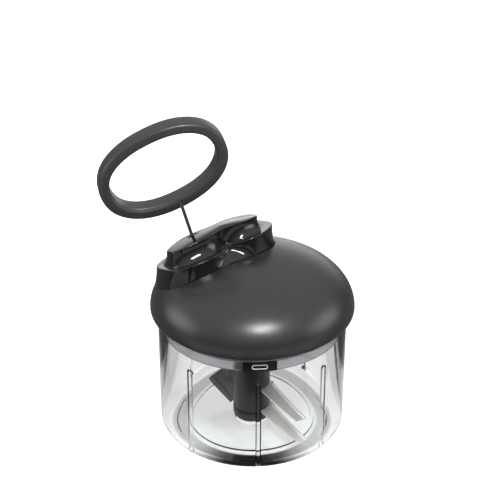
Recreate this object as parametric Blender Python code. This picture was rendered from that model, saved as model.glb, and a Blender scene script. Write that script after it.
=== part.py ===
"""Manual food chopper with a pull cord.

Metres, +Z up. The origin is the centre of the bowl's foot, on the table.
The bowl carries a pivot pin, and the blade unit turns on it. The lid holds a reel with a recoil
spring. Pulling the ring handle unwinds the cord, and the reel turns the blades through a ratchet.
"""
import math

import bmesh
import bpy
from mathutils import Matrix, Vector

# Clearances
GAP = 0.0003            # between pieces that are fixed to each other
RUN = 0.0004            # between pieces that turn or slide
MERGE = 0.000001

# Bowl
BOWL_RIM_RADIUS = 0.0695
BOWL_TAPER = 0.0005
BOWL_BASE_RADIUS = BOWL_RIM_RADIUS - BOWL_TAPER
BOWL_HEIGHT = 0.0970
BOWL_WALL = 0.0022
BOWL_CORNER = 0.0080
BOWL_INNER_CORNER = 0.0050
BOWL_CORNER_START = -75.0       # degrees
BOWL_RIM_ROUND = 0.0006
FOOT_INSET = 0.0075
FOOT_WIDTH = 0.0055
FOOT_OUTER_RADIUS = BOWL_BASE_RADIUS - FOOT_INSET
FOOT_INNER_RADIUS = FOOT_OUTER_RADIUS - FOOT_WIDTH
FOOT_RECESS = 0.0008
FOOT_SLOPE = 0.0010
FOOT_PAD_RADIUS = 0.0120
FLOOR_TOP_Z = 0.0030
FLOOR_RING_INSET = 0.0235
FLOOR_RING_RADIUS = BOWL_BASE_RADIUS - FLOOR_RING_INSET
FLOOR_RING_WIDTH = 0.0020
FLOOR_RING_HEIGHT = 0.0012
BOSS_RADIUS = 0.0065
BOSS_HEIGHT = 0.0075
RIB_COUNT = 8
RIB_FIRST_AZIMUTH = math.radians(-86.0)
RIB_WIDTH = 0.0036
RIB_DEPTH = 0.0016
RIB_TOP_DROP = 0.0205
RIB_TOP_Z = BOWL_HEIGHT - RIB_TOP_DROP
RIB_CHAMFER = 0.0030
RIB_ROOT = 0.0008
RIB_FOOT_RISE = 0.0015

# Pivot pin
PIN_RADIUS = 0.0025
PIN_SEAT_Z = 0.0036
PIN_ROUND = 0.0010

# Lid dome. Heights of the lid's pieces, of the mechanism and of the handle are over the bowl's rim.
DOME_OVERHANG = 0.0055
DOME_RADIUS = BOWL_RIM_RADIUS + DOME_OVERHANG
DOME_BASE_Z = 0.0037
DOME_RISE = 0.0380
DOME_EXPONENT = 2.4
DOME_WALL = 0.0022
DOME_EDGE_Z = 0.0021
DOME_EDGE_ROUND = 0.0006
DOME_BOSS_RADIUS = 0.0036
DOME_BOSS_AZIMUTHS = [math.radians(a) for a in (20.0, 105.0, 235.0, 310.0)]
CUT_BOTTOM_Z = 0.0033
CUT_TOP_Z = 0.0930

# Lid base
BASE_FLANGE_CLEARANCE = 0.0005
BASE_FLANGE_RADIUS = DOME_RADIUS - DOME_WALL - BASE_FLANGE_CLEARANCE
BASE_THICKNESS = 0.0019
BASE_UNDER_Z = GAP
BASE_TOP_Z = BASE_UNDER_Z + BASE_THICKNESS
SKIRT_CLEARANCE = 0.0007
SKIRT_WALL = 0.0026
SKIRT_OUTER_RADIUS = BOWL_RIM_RADIUS - BOWL_WALL - SKIRT_CLEARANCE
SKIRT_INNER_RADIUS = SKIRT_OUTER_RADIUS - SKIRT_WALL
SKIRT_BOTTOM_Z = -0.0116
SEAL_LOW_Z = -0.0038
SEAL_HIGH_Z = -0.0018
SEAL_GROOVE_DEPTH = 0.0013
SEAL_PROUD = 0.0004
SEAL_GROOVE_RADIUS = SKIRT_OUTER_RADIUS - SEAL_GROOVE_DEPTH
SEAL_OUTER_RADIUS = SKIRT_OUTER_RADIUS + SEAL_PROUD
DOME_BOSS_INSET = 0.0040
DOME_BOSS_CENTRE_RADIUS = SKIRT_INNER_RADIUS - DOME_BOSS_INSET
SEAL_LIP = 0.0005
BUSH_RADIUS = 0.0080
BUSH_BORE_RADIUS = 0.0054
BUSH_FLANGE_RADIUS = 0.0100
BUSH_FLANGE_THICKNESS = 0.0015
BUSH_BOTTOM_Z = -0.0028
BASE_BOSS_RADIUS = 0.0120
BASE_BOSS_Z = -0.0025

# Handle rest: an oblong step and an island on it, on a plane that falls away from the bowl's axis
REST_INSET = 0.0433             # from the dome's edge in to the rest's centre
REST_AZIMUTH = math.radians(150.93)
REST_CENTRE_X = (DOME_RADIUS - REST_INSET) * math.cos(REST_AZIMUTH)
REST_CENTRE_Y = (DOME_RADIUS - REST_INSET) * math.sin(REST_AZIMUTH)
REST_TURN = math.radians(34.5)
REST_EXPONENT = 2.8
REST_STATION_SHARES = (0.985, 0.93, 0.84, 0.72, 0.59, 0.47, 0.36, 0.26, 0.17, 0.085)
REST_WAIST_LENGTH = 0.0110
REST_WAIST_PLACE = 0.0015
REST_BASE_HALF_LENGTH = 0.0470
REST_BASE_HALF_WIDTH = 0.0262
REST_BASE_WAIST = 0.0010
REST_WALL_POWER = 2.4
REST_WALL_SHARES = (0.25, 0.60)
LEDGE_HALF_LENGTH = 0.0446
LEDGE_HALF_WIDTH = 0.0258
LEDGE_WAIST = 0.0102
REST_LEDGE_Z = 0.0441
REST_SLOPE_X = 0.328
REST_SLOPE_Y = -0.206
REST_TUCK = 0.0050
REST_WALL = 0.0020
REST_EDGE = 0.0008
ISLAND_PLACE = -0.0019
ISLAND_FOOT_HALF_LENGTH = 0.0380
ISLAND_FOOT_HALF_WIDTH = 0.0188
ISLAND_FOOT_WAIST = 0.0080
ISLAND_WALL_POWER = 2.2
ISLAND_WALL_SHARES = (0.12, 0.30, 0.60)
ISLAND_HALF_LENGTH = 0.0370
ISLAND_HALF_WIDTH = 0.0125
ISLAND_WAIST = 0.0032
ISLAND_HEIGHT = 0.0142
ISLAND_ARCH = 0.0046
ISLAND_ARCH_PLACE = -0.0075
ISLAND_ARCH_LENGTH = 0.0420
ISLAND_EDGE = 0.0010
ISLAND_CROWN = 0.0012
ISLAND_CROWN_SHARES = (0.72, 0.40)
REST_POST_RADIUS = 0.0036
REST_POST_OFFSET = 0.0340

# Cord
CORD_RADIUS = 0.00125
CORD_HOLE_U = -0.0169
CORD_HOLE_V = 0.0039
CORD_BEND_RADIUS = 0.0052
CORD_BEND_STEPS = 8
CORD_OUT_LENGTH = 0.0259
CORD_END_LENGTH = 0.0050
EYELET_CLEARANCE = 0.0005
EYELET_WALL = 0.0009
EYELET_BORE_RADIUS = CORD_RADIUS + EYELET_CLEARANCE
EYELET_RADIUS = EYELET_BORE_RADIUS + EYELET_WALL
EYELET_PROUD = 0.0002
EYELET_FLANGE_RADIUS = 0.0038
EYELET_FLANGE_TOP = 0.0027
EYELET_FLANGE_BOTTOM = 0.0041
GUIDE_CLEARANCE = 0.0004
GUIDE_WALL = 0.0012
GUIDE_BORE_RADIUS = CORD_RADIUS + GUIDE_CLEARANCE
GUIDE_RADIUS = GUIDE_BORE_RADIUS + GUIDE_WALL
GUIDE_RUN_IN = 0.0025
GUIDE_RUN_OUT = 0.0040
GUIDE_POST_RADIUS = 0.0032
GUIDE_FOOT_RADIUS = 0.0055
GUIDE_FOOT_HEIGHT = 0.0015

# Ring handle
RING_HALF_LENGTH = 0.0486
RING_HALF_HEIGHT = 0.0331
RING_EXPONENT = 2.2
RING_BAR_WIDTH = 0.0082
RING_BAR_DEPTH = 0.0145
RING_YAW = math.radians(10.0)
RING_ROLL = math.radians(25.1)
RING_PITCH = math.radians(-4.2)
RING_SIDES = 40
# Section of the bar: share of its width from the outer edge, share of its half depth to the front
RING_SECTION_SHARES = (
    (0.00, -0.45), (0.00, 0.35), (0.03, 0.66), (0.10, 0.86), (0.22, 0.96), (0.45, 1.00), (0.76, 1.00),
    (0.86, 0.92), (0.92, 0.72), (1.00, 0.58), (1.00, -0.78), (0.96, -0.92), (0.86, -1.00), (0.40, -1.00),
    (0.16, -0.90), (0.04, -0.72),
)
CORD_SEAT_WIDTH = 0.0060        # from the bar's outer edge to the cord's hole, at the front
CORD_SEAT_BACK_WIDTH = 0.0042   # the same at the back
CORD_SEAT_CLEARANCE = 0.0002
CORD_SEAT_FRONT = 0.5 * RING_BAR_DEPTH + CORD_RADIUS + CORD_SEAT_CLEARANCE
TAIL_CLEARANCE = 0.0003
TAIL_BORE_RADIUS = CORD_RADIUS + TAIL_CLEARANCE
KNOT_RADIUS = 0.0022
KNOT_ARC_START = -40.0          # degrees
KNOT_STEPS = 6
KNOT_CLEARANCE = 0.0004
KNOT_POCKET_RADIUS = KNOT_RADIUS + KNOT_CLEARANCE
KNOT_POCKET_DEPTH = 0.0061
PLUG_RADIUS = KNOT_POCKET_RADIUS - GAP
PLUG_THICKNESS = 0.0009
PLUG_SUNK = 0.0002

# Reel and its axle
DRUM_RADIUS = 0.0180
REEL_FLANGE_RADIUS = 0.0230
REEL_BOTTOM_Z = 0.0074
GROOVE_LOW_Z = 0.0090
GROOVE_HIGH_Z = 0.0160
REEL_TOP_Z = 0.0175
RATCHET_RADIUS = 0.0166
RATCHET_TOOTH_DEPTH = 0.0010
RATCHET_TEETH = 12
RATCHET_ROOF_Z = 0.0102
CHAMBER_FLOOR_Z = 0.0116
CHAMBER_RADIUS = 0.0162
REEL_HUB_RADIUS = 0.0062
AXLE_RADIUS = 0.0035
AXLE_HEAD_RADIUS = 0.0065
AXLE_HEAD_THICKNESS = 0.0016
AXLE_BOTTOM_Z = 0.0078
CLIP_LOW_Z = 0.0084
CLIP_THICKNESS = 0.0008
CLIP_GROOVE_RADIUS = 0.0026
CLIP_OUTER_RADIUS = 0.0056
CLIP_MOUTH = 0.0034
COVER_THICKNESS = 0.0014
WASHER_THICKNESS = 0.0008
WASHER_RADIUS = 0.0080
WINDING_TURNS = 2
WINDING_FILL_SHARE = 0.92       # of a turn's height that its round side takes up
SPRING_THICKNESS = 0.0005
SPRING_HEIGHT = 0.0050
SPRING_INNER_RADIUS = 0.0070
SPRING_OUTER_RADIUS = 0.0155
SPRING_TURNS = 5
SPRING_STEPS_PER_TURN = 16

# Bracket over the reel
BRACKET_THICKNESS = 0.0025
BRACKET_HUB_RADIUS = 0.0140
BRACKET_LEG_RADIUS = 0.0380
BRACKET_LEG_DEPTH = 0.0080
BRACKET_LEG_WIDTH = 0.0110
BRACKET_AZIMUTHS = [math.radians(a) for a in (30.0, 150.0, 270.0)]

# Ratchet disc, drive socket and its screw
DISC_RADIUS = 0.0132
DISC_LOW_Z = 0.0043
DISC_HIGH_Z = 0.0070
TONGUE_TOP_Z = 0.0096
TONGUE_COUNT = 3
TONGUE_SPAN = math.radians(62.0)
TONGUE_THICKNESS = 0.0012
TONGUE_RADIUS = 0.0120
TONGUE_TIP_RADIUS = 0.0146
TONGUE_STEPS = 6
TONGUE_FOOT = 0.0005
SHAFT_RADIUS = 0.0050
SHAFT_SHOULDER_Z = -0.0032
SPIGOT_RADIUS = 0.0035
SPIGOT_BOTTOM_Z = -0.0068
SHAFT_HOLE_TOP_Z = -0.0004
SOCKET_RADIUS = 0.0090
SOCKET_BOTTOM_Z = -0.0125
SOCKET_TOP_Z = -0.0035
SOCKET_WEB_LOW_Z = -0.0084
SOCKET_WEB_HIGH_Z = -0.0071
HEX_RADIUS = 0.0068
HEX_CLEARANCE = 0.0005

# Screws
SCREW_HEAD_RADIUS = 0.0028
SCREW_HEAD_HEIGHT = 0.0015
SCREW_SHANK_RADIUS = 0.0014
SCREW_HOLE_RADIUS = 0.0017
SCREW_LENGTH = 0.0100
SCREW_HOLE_DEPTH = 0.0106
SCREW_CHAMFER = 0.0005
DRIVE_SCREW_LENGTH = 0.0080

# Blade unit
HUB_BOTTOM_Z = 0.0129
HUB_RADIUS = 0.0143
HUB_SHOULDER_RADIUS = 0.0136
HUB_NECK_RADIUS = 0.0085
HUB_TOP_DROP = 0.0104
HUB_SPLINE_LENGTH = 0.0066
HUB_NECK_LENGTH = 0.0140
HUB_SHOULDER_LENGTH = 0.0060
HUB_TOP_Z = BOWL_HEIGHT - HUB_TOP_DROP
HUB_SPLINE_Z = HUB_TOP_Z - HUB_SPLINE_LENGTH
HUB_NECK_Z = HUB_SPLINE_Z - HUB_NECK_LENGTH
HUB_SHOULDER_Z = HUB_NECK_Z - HUB_SHOULDER_LENGTH
HUB_WALL = 0.0022
HUB_ROOF_RISE = 0.0006
HUB_CAVITY_DROP = 0.0040
HUB_ROOF_Z = HUB_SHOULDER_Z + HUB_ROOF_RISE
HUB_CAVITY_TOP_Z = HUB_SHOULDER_Z - HUB_CAVITY_DROP
PIN_HEADROOM = 0.0006
PIN_TOP_Z = HUB_ROOF_Z - PIN_HEADROOM
HUB_TUBE_RADIUS = 0.0050
HUB_BORE_RADIUS = 0.0029
CAP_BOTTOM_Z = 0.0045
CAP_TOP_Z = 0.0126
CAP_ROUND = 0.0020
CAP_BORE_RADIUS = 0.0072
CAP_PLATE_LOW_Z = 0.0108
CAP_SPIGOT_TOP_Z = 0.0150
CAP_SPIGOT_WALL = 0.0018

# Blades, in a frame whose first axis points to the tip and whose second is across to the edge
BLADE_AZIMUTH = math.radians(-61.0)
BLADE_THICKNESS = 0.0010
BLADE_EDGE_OFFSET = 0.0128
BLADE_TIP_CLEARANCE = 0.0063
BLADE_TIP_LENGTH = BOWL_BASE_RADIUS - BOWL_WALL - BLADE_TIP_CLEARANCE
BLADE_TIP_BACK = 0.0046
BLADE_TIP_DROP = 0.0016
BLADE_TIP_ROUND = 0.0030
BLADE_ROOT_LENGTH = 0.0097
BLADE_ROOT_BACK = -0.0009
BLADE_EYE_RADIUS = 0.0090
BLADE_EYE_BORE_RADIUS = 0.0053
BLADE_EYE_STEPS = 9
BLADE_TIP_STEPS = 2
LOWER_BLADE_Z = 0.0131
UPPER_BLADE_Z = 0.0305
UPPER_BLADE_SHORTER = 0.0015
UPPER_BLADE_TIP_LENGTH = BLADE_TIP_LENGTH - UPPER_BLADE_SHORTER
BLADE_SLOT = 0.0003

# Mixing paddle, in a frame whose first axis points outwards
PADDLE_AZIMUTH = math.radians(150.0)
PADDLE_THICKNESS = 0.0030
PADDLE_TIP_RADIUS = 0.0390
PADDLE_TIP_Z = 0.0190
PADDLE_TIP_HALF_HEIGHT = 0.0025
PADDLE_ROOT_RADIUS = 0.0148
PADDLE_ROOT_LOW_Z = 0.0115
PADDLE_HEEL_RADIUS = 0.0180
PADDLE_HEEL_Z = 0.0060
PADDLE_ROOT_HIGH_Z = 0.0315
PADDLE_SHOULDER_RADIUS = 0.0255
PADDLE_SHOULDER_Z = 0.0320
PADDLE_TENON_RADIUS = 0.0124
PADDLE_TENON_LOW_Z = 0.0170
PADDLE_TENON_HIGH_Z = 0.0270

# Fineness of round pieces
LARGE_SIDES = 48
MEDIUM_SIDES = 28
SMALL_SIDES = 14
TINY_SIDES = 10
CORNER_STEPS = 3
INNER_CORNER_STEPS = 2
DOME_STEPS = 9
DOME_INNER_STEPS = 7
SHARP_ANGLE = math.radians(32.0)

UP = Vector((0.0, 0.0, 1.0))


# Colours: red, green, blue, roughness, metallic, alpha
CLEAR_PLASTIC = ("clear_plastic", (0.90, 0.92, 0.93), 0.05, 0.0, 0.30)
SATIN_BLACK = ("satin_black_plastic", (0.030, 0.030, 0.032), 0.38, 0.0, 1.0)
GLOSS_BLACK = ("gloss_black_plastic", (0.022, 0.022, 0.024), 0.12, 0.0, 1.0)
HANDLE_BLACK = ("handle_black_plastic", (0.028, 0.029, 0.028), 0.45, 0.0, 1.0)
SKIRT_PLASTIC = ("grey_translucent_plastic", (0.45, 0.46, 0.48), 0.25, 0.0, 0.55)
SEAL_RUBBER = ("seal_rubber", (0.55, 0.56, 0.58), 0.60, 0.0, 1.0)
NYLON_BLACK = ("black_nylon", (0.035, 0.035, 0.036), 0.50, 0.0, 1.0)
NYLON_WHITE = ("natural_nylon", (0.78, 0.77, 0.72), 0.45, 0.0, 1.0)
CORD_BLACK = ("black_cord", (0.020, 0.020, 0.020), 0.80, 0.0, 1.0)
STEEL = ("stainless_steel", (0.62, 0.62, 0.63), 0.22, 1.0, 1.0)
SPRING_STEEL = ("spring_steel", (0.42, 0.43, 0.46), 0.30, 1.0, 1.0)
SCREW_STEEL = ("zinc_plated_steel", (0.58, 0.59, 0.61), 0.32, 1.0, 1.0)
PADDLE_GREY = ("dark_grey_plastic", (0.080, 0.080, 0.084), 0.35, 0.0, 1.0)


def clear_scene():
    """Remove whatever the file held before."""
    for obj in list(bpy.data.objects):
        bpy.data.objects.remove(obj, do_unlink=True)


def material(finish):
    """Return the Principled material for a finish, made once."""
    name, colour, roughness, metallic, alpha = finish
    found = bpy.data.materials.get(name)
    if found:
        return found
    made = bpy.data.materials.new(name)
    made.use_nodes = True
    shader = made.node_tree.nodes["Principled BSDF"]
    shader.inputs["Base Color"].default_value = (*colour, 1.0)
    shader.inputs["Roughness"].default_value = roughness
    shader.inputs["Metallic"].default_value = metallic
    shader.inputs["Alpha"].default_value = alpha
    made.diffuse_color = (*colour, alpha)
    return made


def add_piece(name, bm, finish, place=None):
    """Turn a bmesh into a named object with smooth round faces and its material."""
    bmesh.ops.recalc_face_normals(bm, faces=bm.faces)
    mesh = bpy.data.meshes.new(name)
    bm.to_mesh(mesh)
    bm.free()
    mesh.shade_smooth()
    mesh.set_sharp_from_angle(angle=SHARP_ANGLE)
    mesh.materials.append(material(finish))
    piece = bpy.data.objects.new(name, mesh)
    bpy.context.scene.collection.objects.link(piece)
    if place is not None:
        piece.matrix_world = place
    return piece


def as_tool(piece):
    """Mark an object as a cutter or a joined shape, which is no piece of its own."""
    piece.hide_render = True
    piece.display_type = "WIRE"
    return piece


def add_boolean(piece, tool, operation):
    """Cut, join or intersect a piece with a tool."""
    modifier = piece.modifiers.new(tool.name, "BOOLEAN")
    modifier.operation = operation
    modifier.solver = "EXACT"
    modifier.object = as_tool(tool)


def turned_mesh(profile, sides):
    """Spin a closed profile of (radius, height) points round the Z axis."""
    bm = bmesh.new()
    points = [bm.verts.new((radius, 0.0, height)) for radius, height in profile]
    edges = []
    for index, point in enumerate(points):
        following = points[(index + 1) % len(points)]
        on_axis = point.co.x < MERGE and following.co.x < MERGE
        if not on_axis:
            edges.append(bm.edges.new((point, following)))
    bmesh.ops.spin(
        bm, geom=points + edges, cent=(0.0, 0.0, 0.0), axis=UP, angle=2.0 * math.pi,
        steps=sides, use_merge=True, use_duplicate=False,
    )
    bmesh.ops.remove_doubles(bm, verts=bm.verts, dist=MERGE)
    bmesh.ops.dissolve_degenerate(bm, edges=bm.edges, dist=MERGE)
    return bm


def lofted_mesh(rings, ring_closed=False, start_point=None, end_point=None):
    """Skin a row of rings that have the same number of points, and close its two ends."""
    bm = bmesh.new()
    rows = [[bm.verts.new(point) for point in ring] for ring in rings]
    sides = len(rings[0])
    pairs = list(zip(rows, rows[1:]))
    if ring_closed:
        pairs.append((rows[-1], rows[0]))
    for lower, upper in pairs:
        for index in range(sides):
            following = (index + 1) % sides
            bm.faces.new((lower[index], lower[following], upper[following], upper[index]))
    if not ring_closed:
        for row, tip in ((rows[0], start_point), (rows[-1], end_point)):
            if tip is None:
                bm.faces.new(row)
                continue
            centre = bm.verts.new(tip)
            for index in range(sides):
                bm.faces.new((row[index], row[(index + 1) % sides], centre))
    bmesh.ops.recalc_face_normals(bm, faces=bm.faces)
    return bm


def prism_mesh(outline, low_z, high_z):
    """Stand a flat outline of (x, y) points up between two heights."""
    rings = [[Vector((x, y, height)) for x, y in outline] for height in (low_z, high_z)]
    return lofted_mesh(rings)


def circle_points(radius, sides, centre_x=0.0, centre_y=0.0):
    """Points round a circle."""
    angles = [2.0 * math.pi * index / sides for index in range(sides)]
    return [(centre_x + radius * math.cos(a), centre_y + radius * math.sin(a)) for a in angles]


def cylinder_mesh(radius, low_z, high_z, sides=SMALL_SIDES):
    """A plain upright cylinder."""
    return prism_mesh(circle_points(radius, sides), low_z, high_z)


def box_mesh(low, high):
    """A plain block between two corners."""
    outline = [(low[0], low[1]), (high[0], low[1]), (high[0], high[1]), (low[0], high[1])]
    return prism_mesh(outline, low[2], high[2])


def merged(parts):
    """Gather several bmeshes, each moved to its place, as separate shapes in one bmesh."""
    gathered = bmesh.new()
    for bm, place in parts:
        mesh = bpy.data.meshes.new("part_shape")
        bm.to_mesh(mesh)
        bm.free()
        mesh.transform(place)
        gathered.from_mesh(mesh)
        bpy.data.meshes.remove(mesh)
    return gathered


def turn_about_z(angle):
    """Rotation about the vertical axis."""
    return Matrix.Rotation(angle, 4, "Z")


def at_polar(radius, azimuth, height=0.0):
    """A move to a place round the vertical axis."""
    return Matrix.Translation((radius * math.cos(azimuth), radius * math.sin(azimuth), height))


def frame_at(origin, x_axis, y_axis, z_axis):
    """A placement with the given axes."""
    rotation = Matrix((x_axis, y_axis, z_axis)).transposed().to_4x4()
    return Matrix.Translation(origin) @ rotation


def frame_along(origin, direction):
    """A placement whose Z axis points along a direction."""
    return Matrix.Translation(origin) @ direction.to_track_quat("Z", "Y").to_matrix().to_4x4()


def arc(centre_r, centre_z, radius, start, end, steps):
    """Profile points along an arc, angles in degrees."""
    angles = [math.radians(start + (end - start) * k / steps) for k in range(steps + 1)]
    return [(centre_r + radius * math.cos(a), centre_z + radius * math.sin(a)) for a in angles]


def dome_height(radius, wall=0.0):
    """Height of the dome's skin over a radius, or of a skin that lies inside it."""
    share = min(radius / (DOME_RADIUS - wall), 1.0)
    return DOME_BASE_Z + (DOME_RISE - wall) * math.sqrt(1.0 - share ** DOME_EXPONENT)


def dome_curve(wall, steps):
    """Profile of the dome's skin from its crown down to its widest place."""
    points = []
    for step in range(steps + 1):
        angle = 0.5 * math.pi * step / steps
        radius = (DOME_RADIUS - wall) * math.sin(angle) ** (2.0 / DOME_EXPONENT)
        points.append((radius, DOME_BASE_Z + (DOME_RISE - wall) * math.cos(angle)))
    return points


def ledge_height(x, y):
    """Height of the handle rest's sloping plane."""
    across = REST_SLOPE_X * (x - REST_CENTRE_X)
    along = REST_SLOPE_Y * (y - REST_CENTRE_Y)
    return REST_LEDGE_Z + across + along


def rest_point(u, v):
    """Plan position of a point given along and across the handle rest."""
    x = REST_CENTRE_X + u * math.cos(REST_TURN) - v * math.sin(REST_TURN)
    y = REST_CENTRE_Y + u * math.sin(REST_TURN) + v * math.cos(REST_TURN)
    return x, y


def rest_outline(half_length, half_width, waist, middle=0.0):
    """Plan of the handle rest, as (u, v): a rounded oblong with a waist in both long sides."""
    shares = list(REST_STATION_SHARES) + [0.0] + [-share for share in reversed(REST_STATION_SHARES)]
    side = []
    for share in shares:
        u = middle + half_length * share
        v = half_width * (1.0 - abs(share) ** REST_EXPONENT) ** (1.0 / REST_EXPONENT)
        v -= waist * v / half_width * math.exp(-(((u - REST_WAIST_PLACE) / REST_WAIST_LENGTH) ** 2))
        side.append((u, v))
    front = [(u, -v) for u, v in reversed(side)]
    return [(middle + half_length, 0.0)] + side + [(middle - half_length, 0.0)] + front


def rest_base_outline(offset):
    """Outline of the rest's wall where it meets the dome, moved outwards by an offset."""
    half_length = REST_BASE_HALF_LENGTH + offset
    return rest_outline(half_length, REST_BASE_HALF_WIDTH + offset, REST_BASE_WAIST)


def ledge_outline(offset):
    """Outline of the ledge, moved outwards by an offset."""
    return rest_outline(LEDGE_HALF_LENGTH + offset, LEDGE_HALF_WIDTH + offset, LEDGE_WAIST)


def island_foot_outline(offset):
    """Outline of the island's foot on the ledge, moved outwards by an offset."""
    half_length = ISLAND_FOOT_HALF_LENGTH + offset
    half_width = ISLAND_FOOT_HALF_WIDTH + offset
    return rest_outline(half_length, half_width, ISLAND_FOOT_WAIST, ISLAND_PLACE)


def island_outline(offset, share=1.0):
    """Outline of the island's top, moved outwards by an offset or shrunk to a share of its size."""
    half_length = ISLAND_HALF_LENGTH + offset
    outline = rest_outline(half_length, ISLAND_HALF_WIDTH + offset, ISLAND_WAIST, ISLAND_PLACE)
    return [(ISLAND_PLACE + (u - ISLAND_PLACE) * share, v * share) for u, v in outline]


def between(first, second, share):
    """Outline part of the way from one to another."""
    return [(a[0] + (b[0] - a[0]) * share, a[1] + (b[1] - a[1]) * share) for a, b in zip(first, second)]


def island_height(u):
    """Height of the island's top edge over the ledge, arched along its length."""
    return ISLAND_HEIGHT - ISLAND_ARCH * ((u - ISLAND_ARCH_PLACE) / ISLAND_ARCH_LENGTH) ** 2


def ledge_ring(outline, level):
    """Ring over an outline, at a height over the ledge that may depend on the place along it."""
    ring = []
    for u, v in outline:
        x, y = rest_point(u, v)
        ring.append(Vector((x, y, ledge_height(x, y) + level(u))))
    return ring


def rest_rings(inset):
    """Rings of the handle rest's skin from its hidden foot up to the island's crown."""
    base = rest_base_outline(-inset)
    ledge = ledge_outline(-inset)
    edge = REST_EDGE + inset
    rings = []
    for share in (None, 0.0) + REST_WALL_SHARES + (1.0,):
        outline = base if share is None else between(ledge, base, (1.0 - share) ** REST_WALL_POWER)
        ring = []
        for u, v in outline:
            x, y = rest_point(u, v)
            low = dome_height(math.hypot(x, y))
            rise = -REST_TUCK if share is None else share * (ledge_height(x, y) - edge - low)
            ring.append(Vector((x, y, low + rise)))
        rings.append(ring)
    rings.append(ledge_ring(ledge_outline(-REST_EDGE - inset), lambda u: -inset))
    foot = island_foot_outline(-inset)
    top = island_outline(-inset)
    for share in (0.0,) + ISLAND_WALL_SHARES + (1.0,):
        outline = between(top, foot, (1.0 - share) ** ISLAND_WALL_POWER)
        rings.append(ledge_ring(outline, lambda u: share * (island_height(u) - ISLAND_EDGE) - inset))
    for share in (1.0,) + ISLAND_CROWN_SHARES:
        crown = ISLAND_CROWN * (1.0 - share ** 2) - inset
        outline = island_outline(-ISLAND_EDGE - inset, share)
        rings.append(ledge_ring(outline, lambda u: island_height(u) + crown))
    return rings


def rest_crown_point(inset):
    """Top of the island's crown, over its middle."""
    x, y = rest_point(ISLAND_PLACE, 0.0)
    height = ledge_height(x, y) + island_height(ISLAND_PLACE) + ISLAND_CROWN - inset
    return Vector((x, y, height))


def island_surface(u, v):
    """Point on top of the island."""
    x, y = rest_point(u, v)
    spread = ((u - ISLAND_PLACE) / ISLAND_HALF_LENGTH) ** 2 + (v / ISLAND_HALF_WIDTH) ** 2
    return Vector((x, y, ledge_height(x, y) + island_height(u) + ISLAND_CROWN * (1.0 - spread)))


REST_NORMAL = Vector((-REST_SLOPE_X, -REST_SLOPE_Y, 1.0)).normalized()
CORD_HOLE = island_surface(CORD_HOLE_U, CORD_HOLE_V)
CORD_WOUND_RADIUS = DRUM_RADIUS + GAP + CORD_RADIUS
CORD_LEVEL_Z = GROOVE_HIGH_Z - GAP - CORD_RADIUS


def cord_corner():
    """Where the cord's line out of the island meets the level of its turn on the reel."""
    return CORD_HOLE - REST_NORMAL * ((CORD_HOLE.z - CORD_LEVEL_Z) / REST_NORMAL.z)


def cord_tangent():
    """Where the cord leaves the reel."""
    corner = cord_corner()
    spread = math.acos(CORD_WOUND_RADIUS / math.hypot(corner.x, corner.y))
    azimuth = math.atan2(corner.y, corner.x) - spread
    x = CORD_WOUND_RADIUS * math.cos(azimuth)
    y = CORD_WOUND_RADIUS * math.sin(azimuth)
    return Vector((x, y, CORD_LEVEL_Z))


def cord_bend(before, after):
    """Route round the corner, with straight stretches before and after the bend."""
    corner = cord_corner()
    inward = (corner - cord_tangent()).normalized()
    half_turn = 0.5 * inward.angle(REST_NORMAL)
    tangent_length = CORD_BEND_RADIUS * math.tan(half_turn)
    start = corner - inward * tangent_length
    towards_centre = (REST_NORMAL - inward).normalized()
    centre = corner + towards_centre * (CORD_BEND_RADIUS / math.cos(half_turn))
    axis = inward.cross(REST_NORMAL).normalized()
    route = [start - inward * before]
    for step in range(CORD_BEND_STEPS + 1):
        turn = Matrix.Rotation(2.0 * half_turn * step / CORD_BEND_STEPS, 3, axis)
        route.append(centre + turn @ (start - centre))
    route.append(route[-1] + REST_NORMAL * after)
    return route


def ring_axes():
    """The ring handle's long axis, its short axis and its front direction."""
    yaw_front = Vector((math.sin(RING_YAW), -math.cos(RING_YAW), 0.0))
    roll = Vector((math.cos(RING_ROLL) * math.cos(RING_YAW),
                   math.cos(RING_ROLL) * math.sin(RING_YAW), math.sin(RING_ROLL)))
    upright = yaw_front.cross(roll)
    front = roll.cross(upright)
    short = upright * math.cos(RING_PITCH) - front * math.sin(RING_PITCH)
    return roll, short.normalized(), roll.cross(short).normalized()


def cord_end_point():
    """Where the straight cord meets the ring handle: the tilt axis passes here."""
    return CORD_HOLE + REST_NORMAL * CORD_OUT_LENGTH


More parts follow.
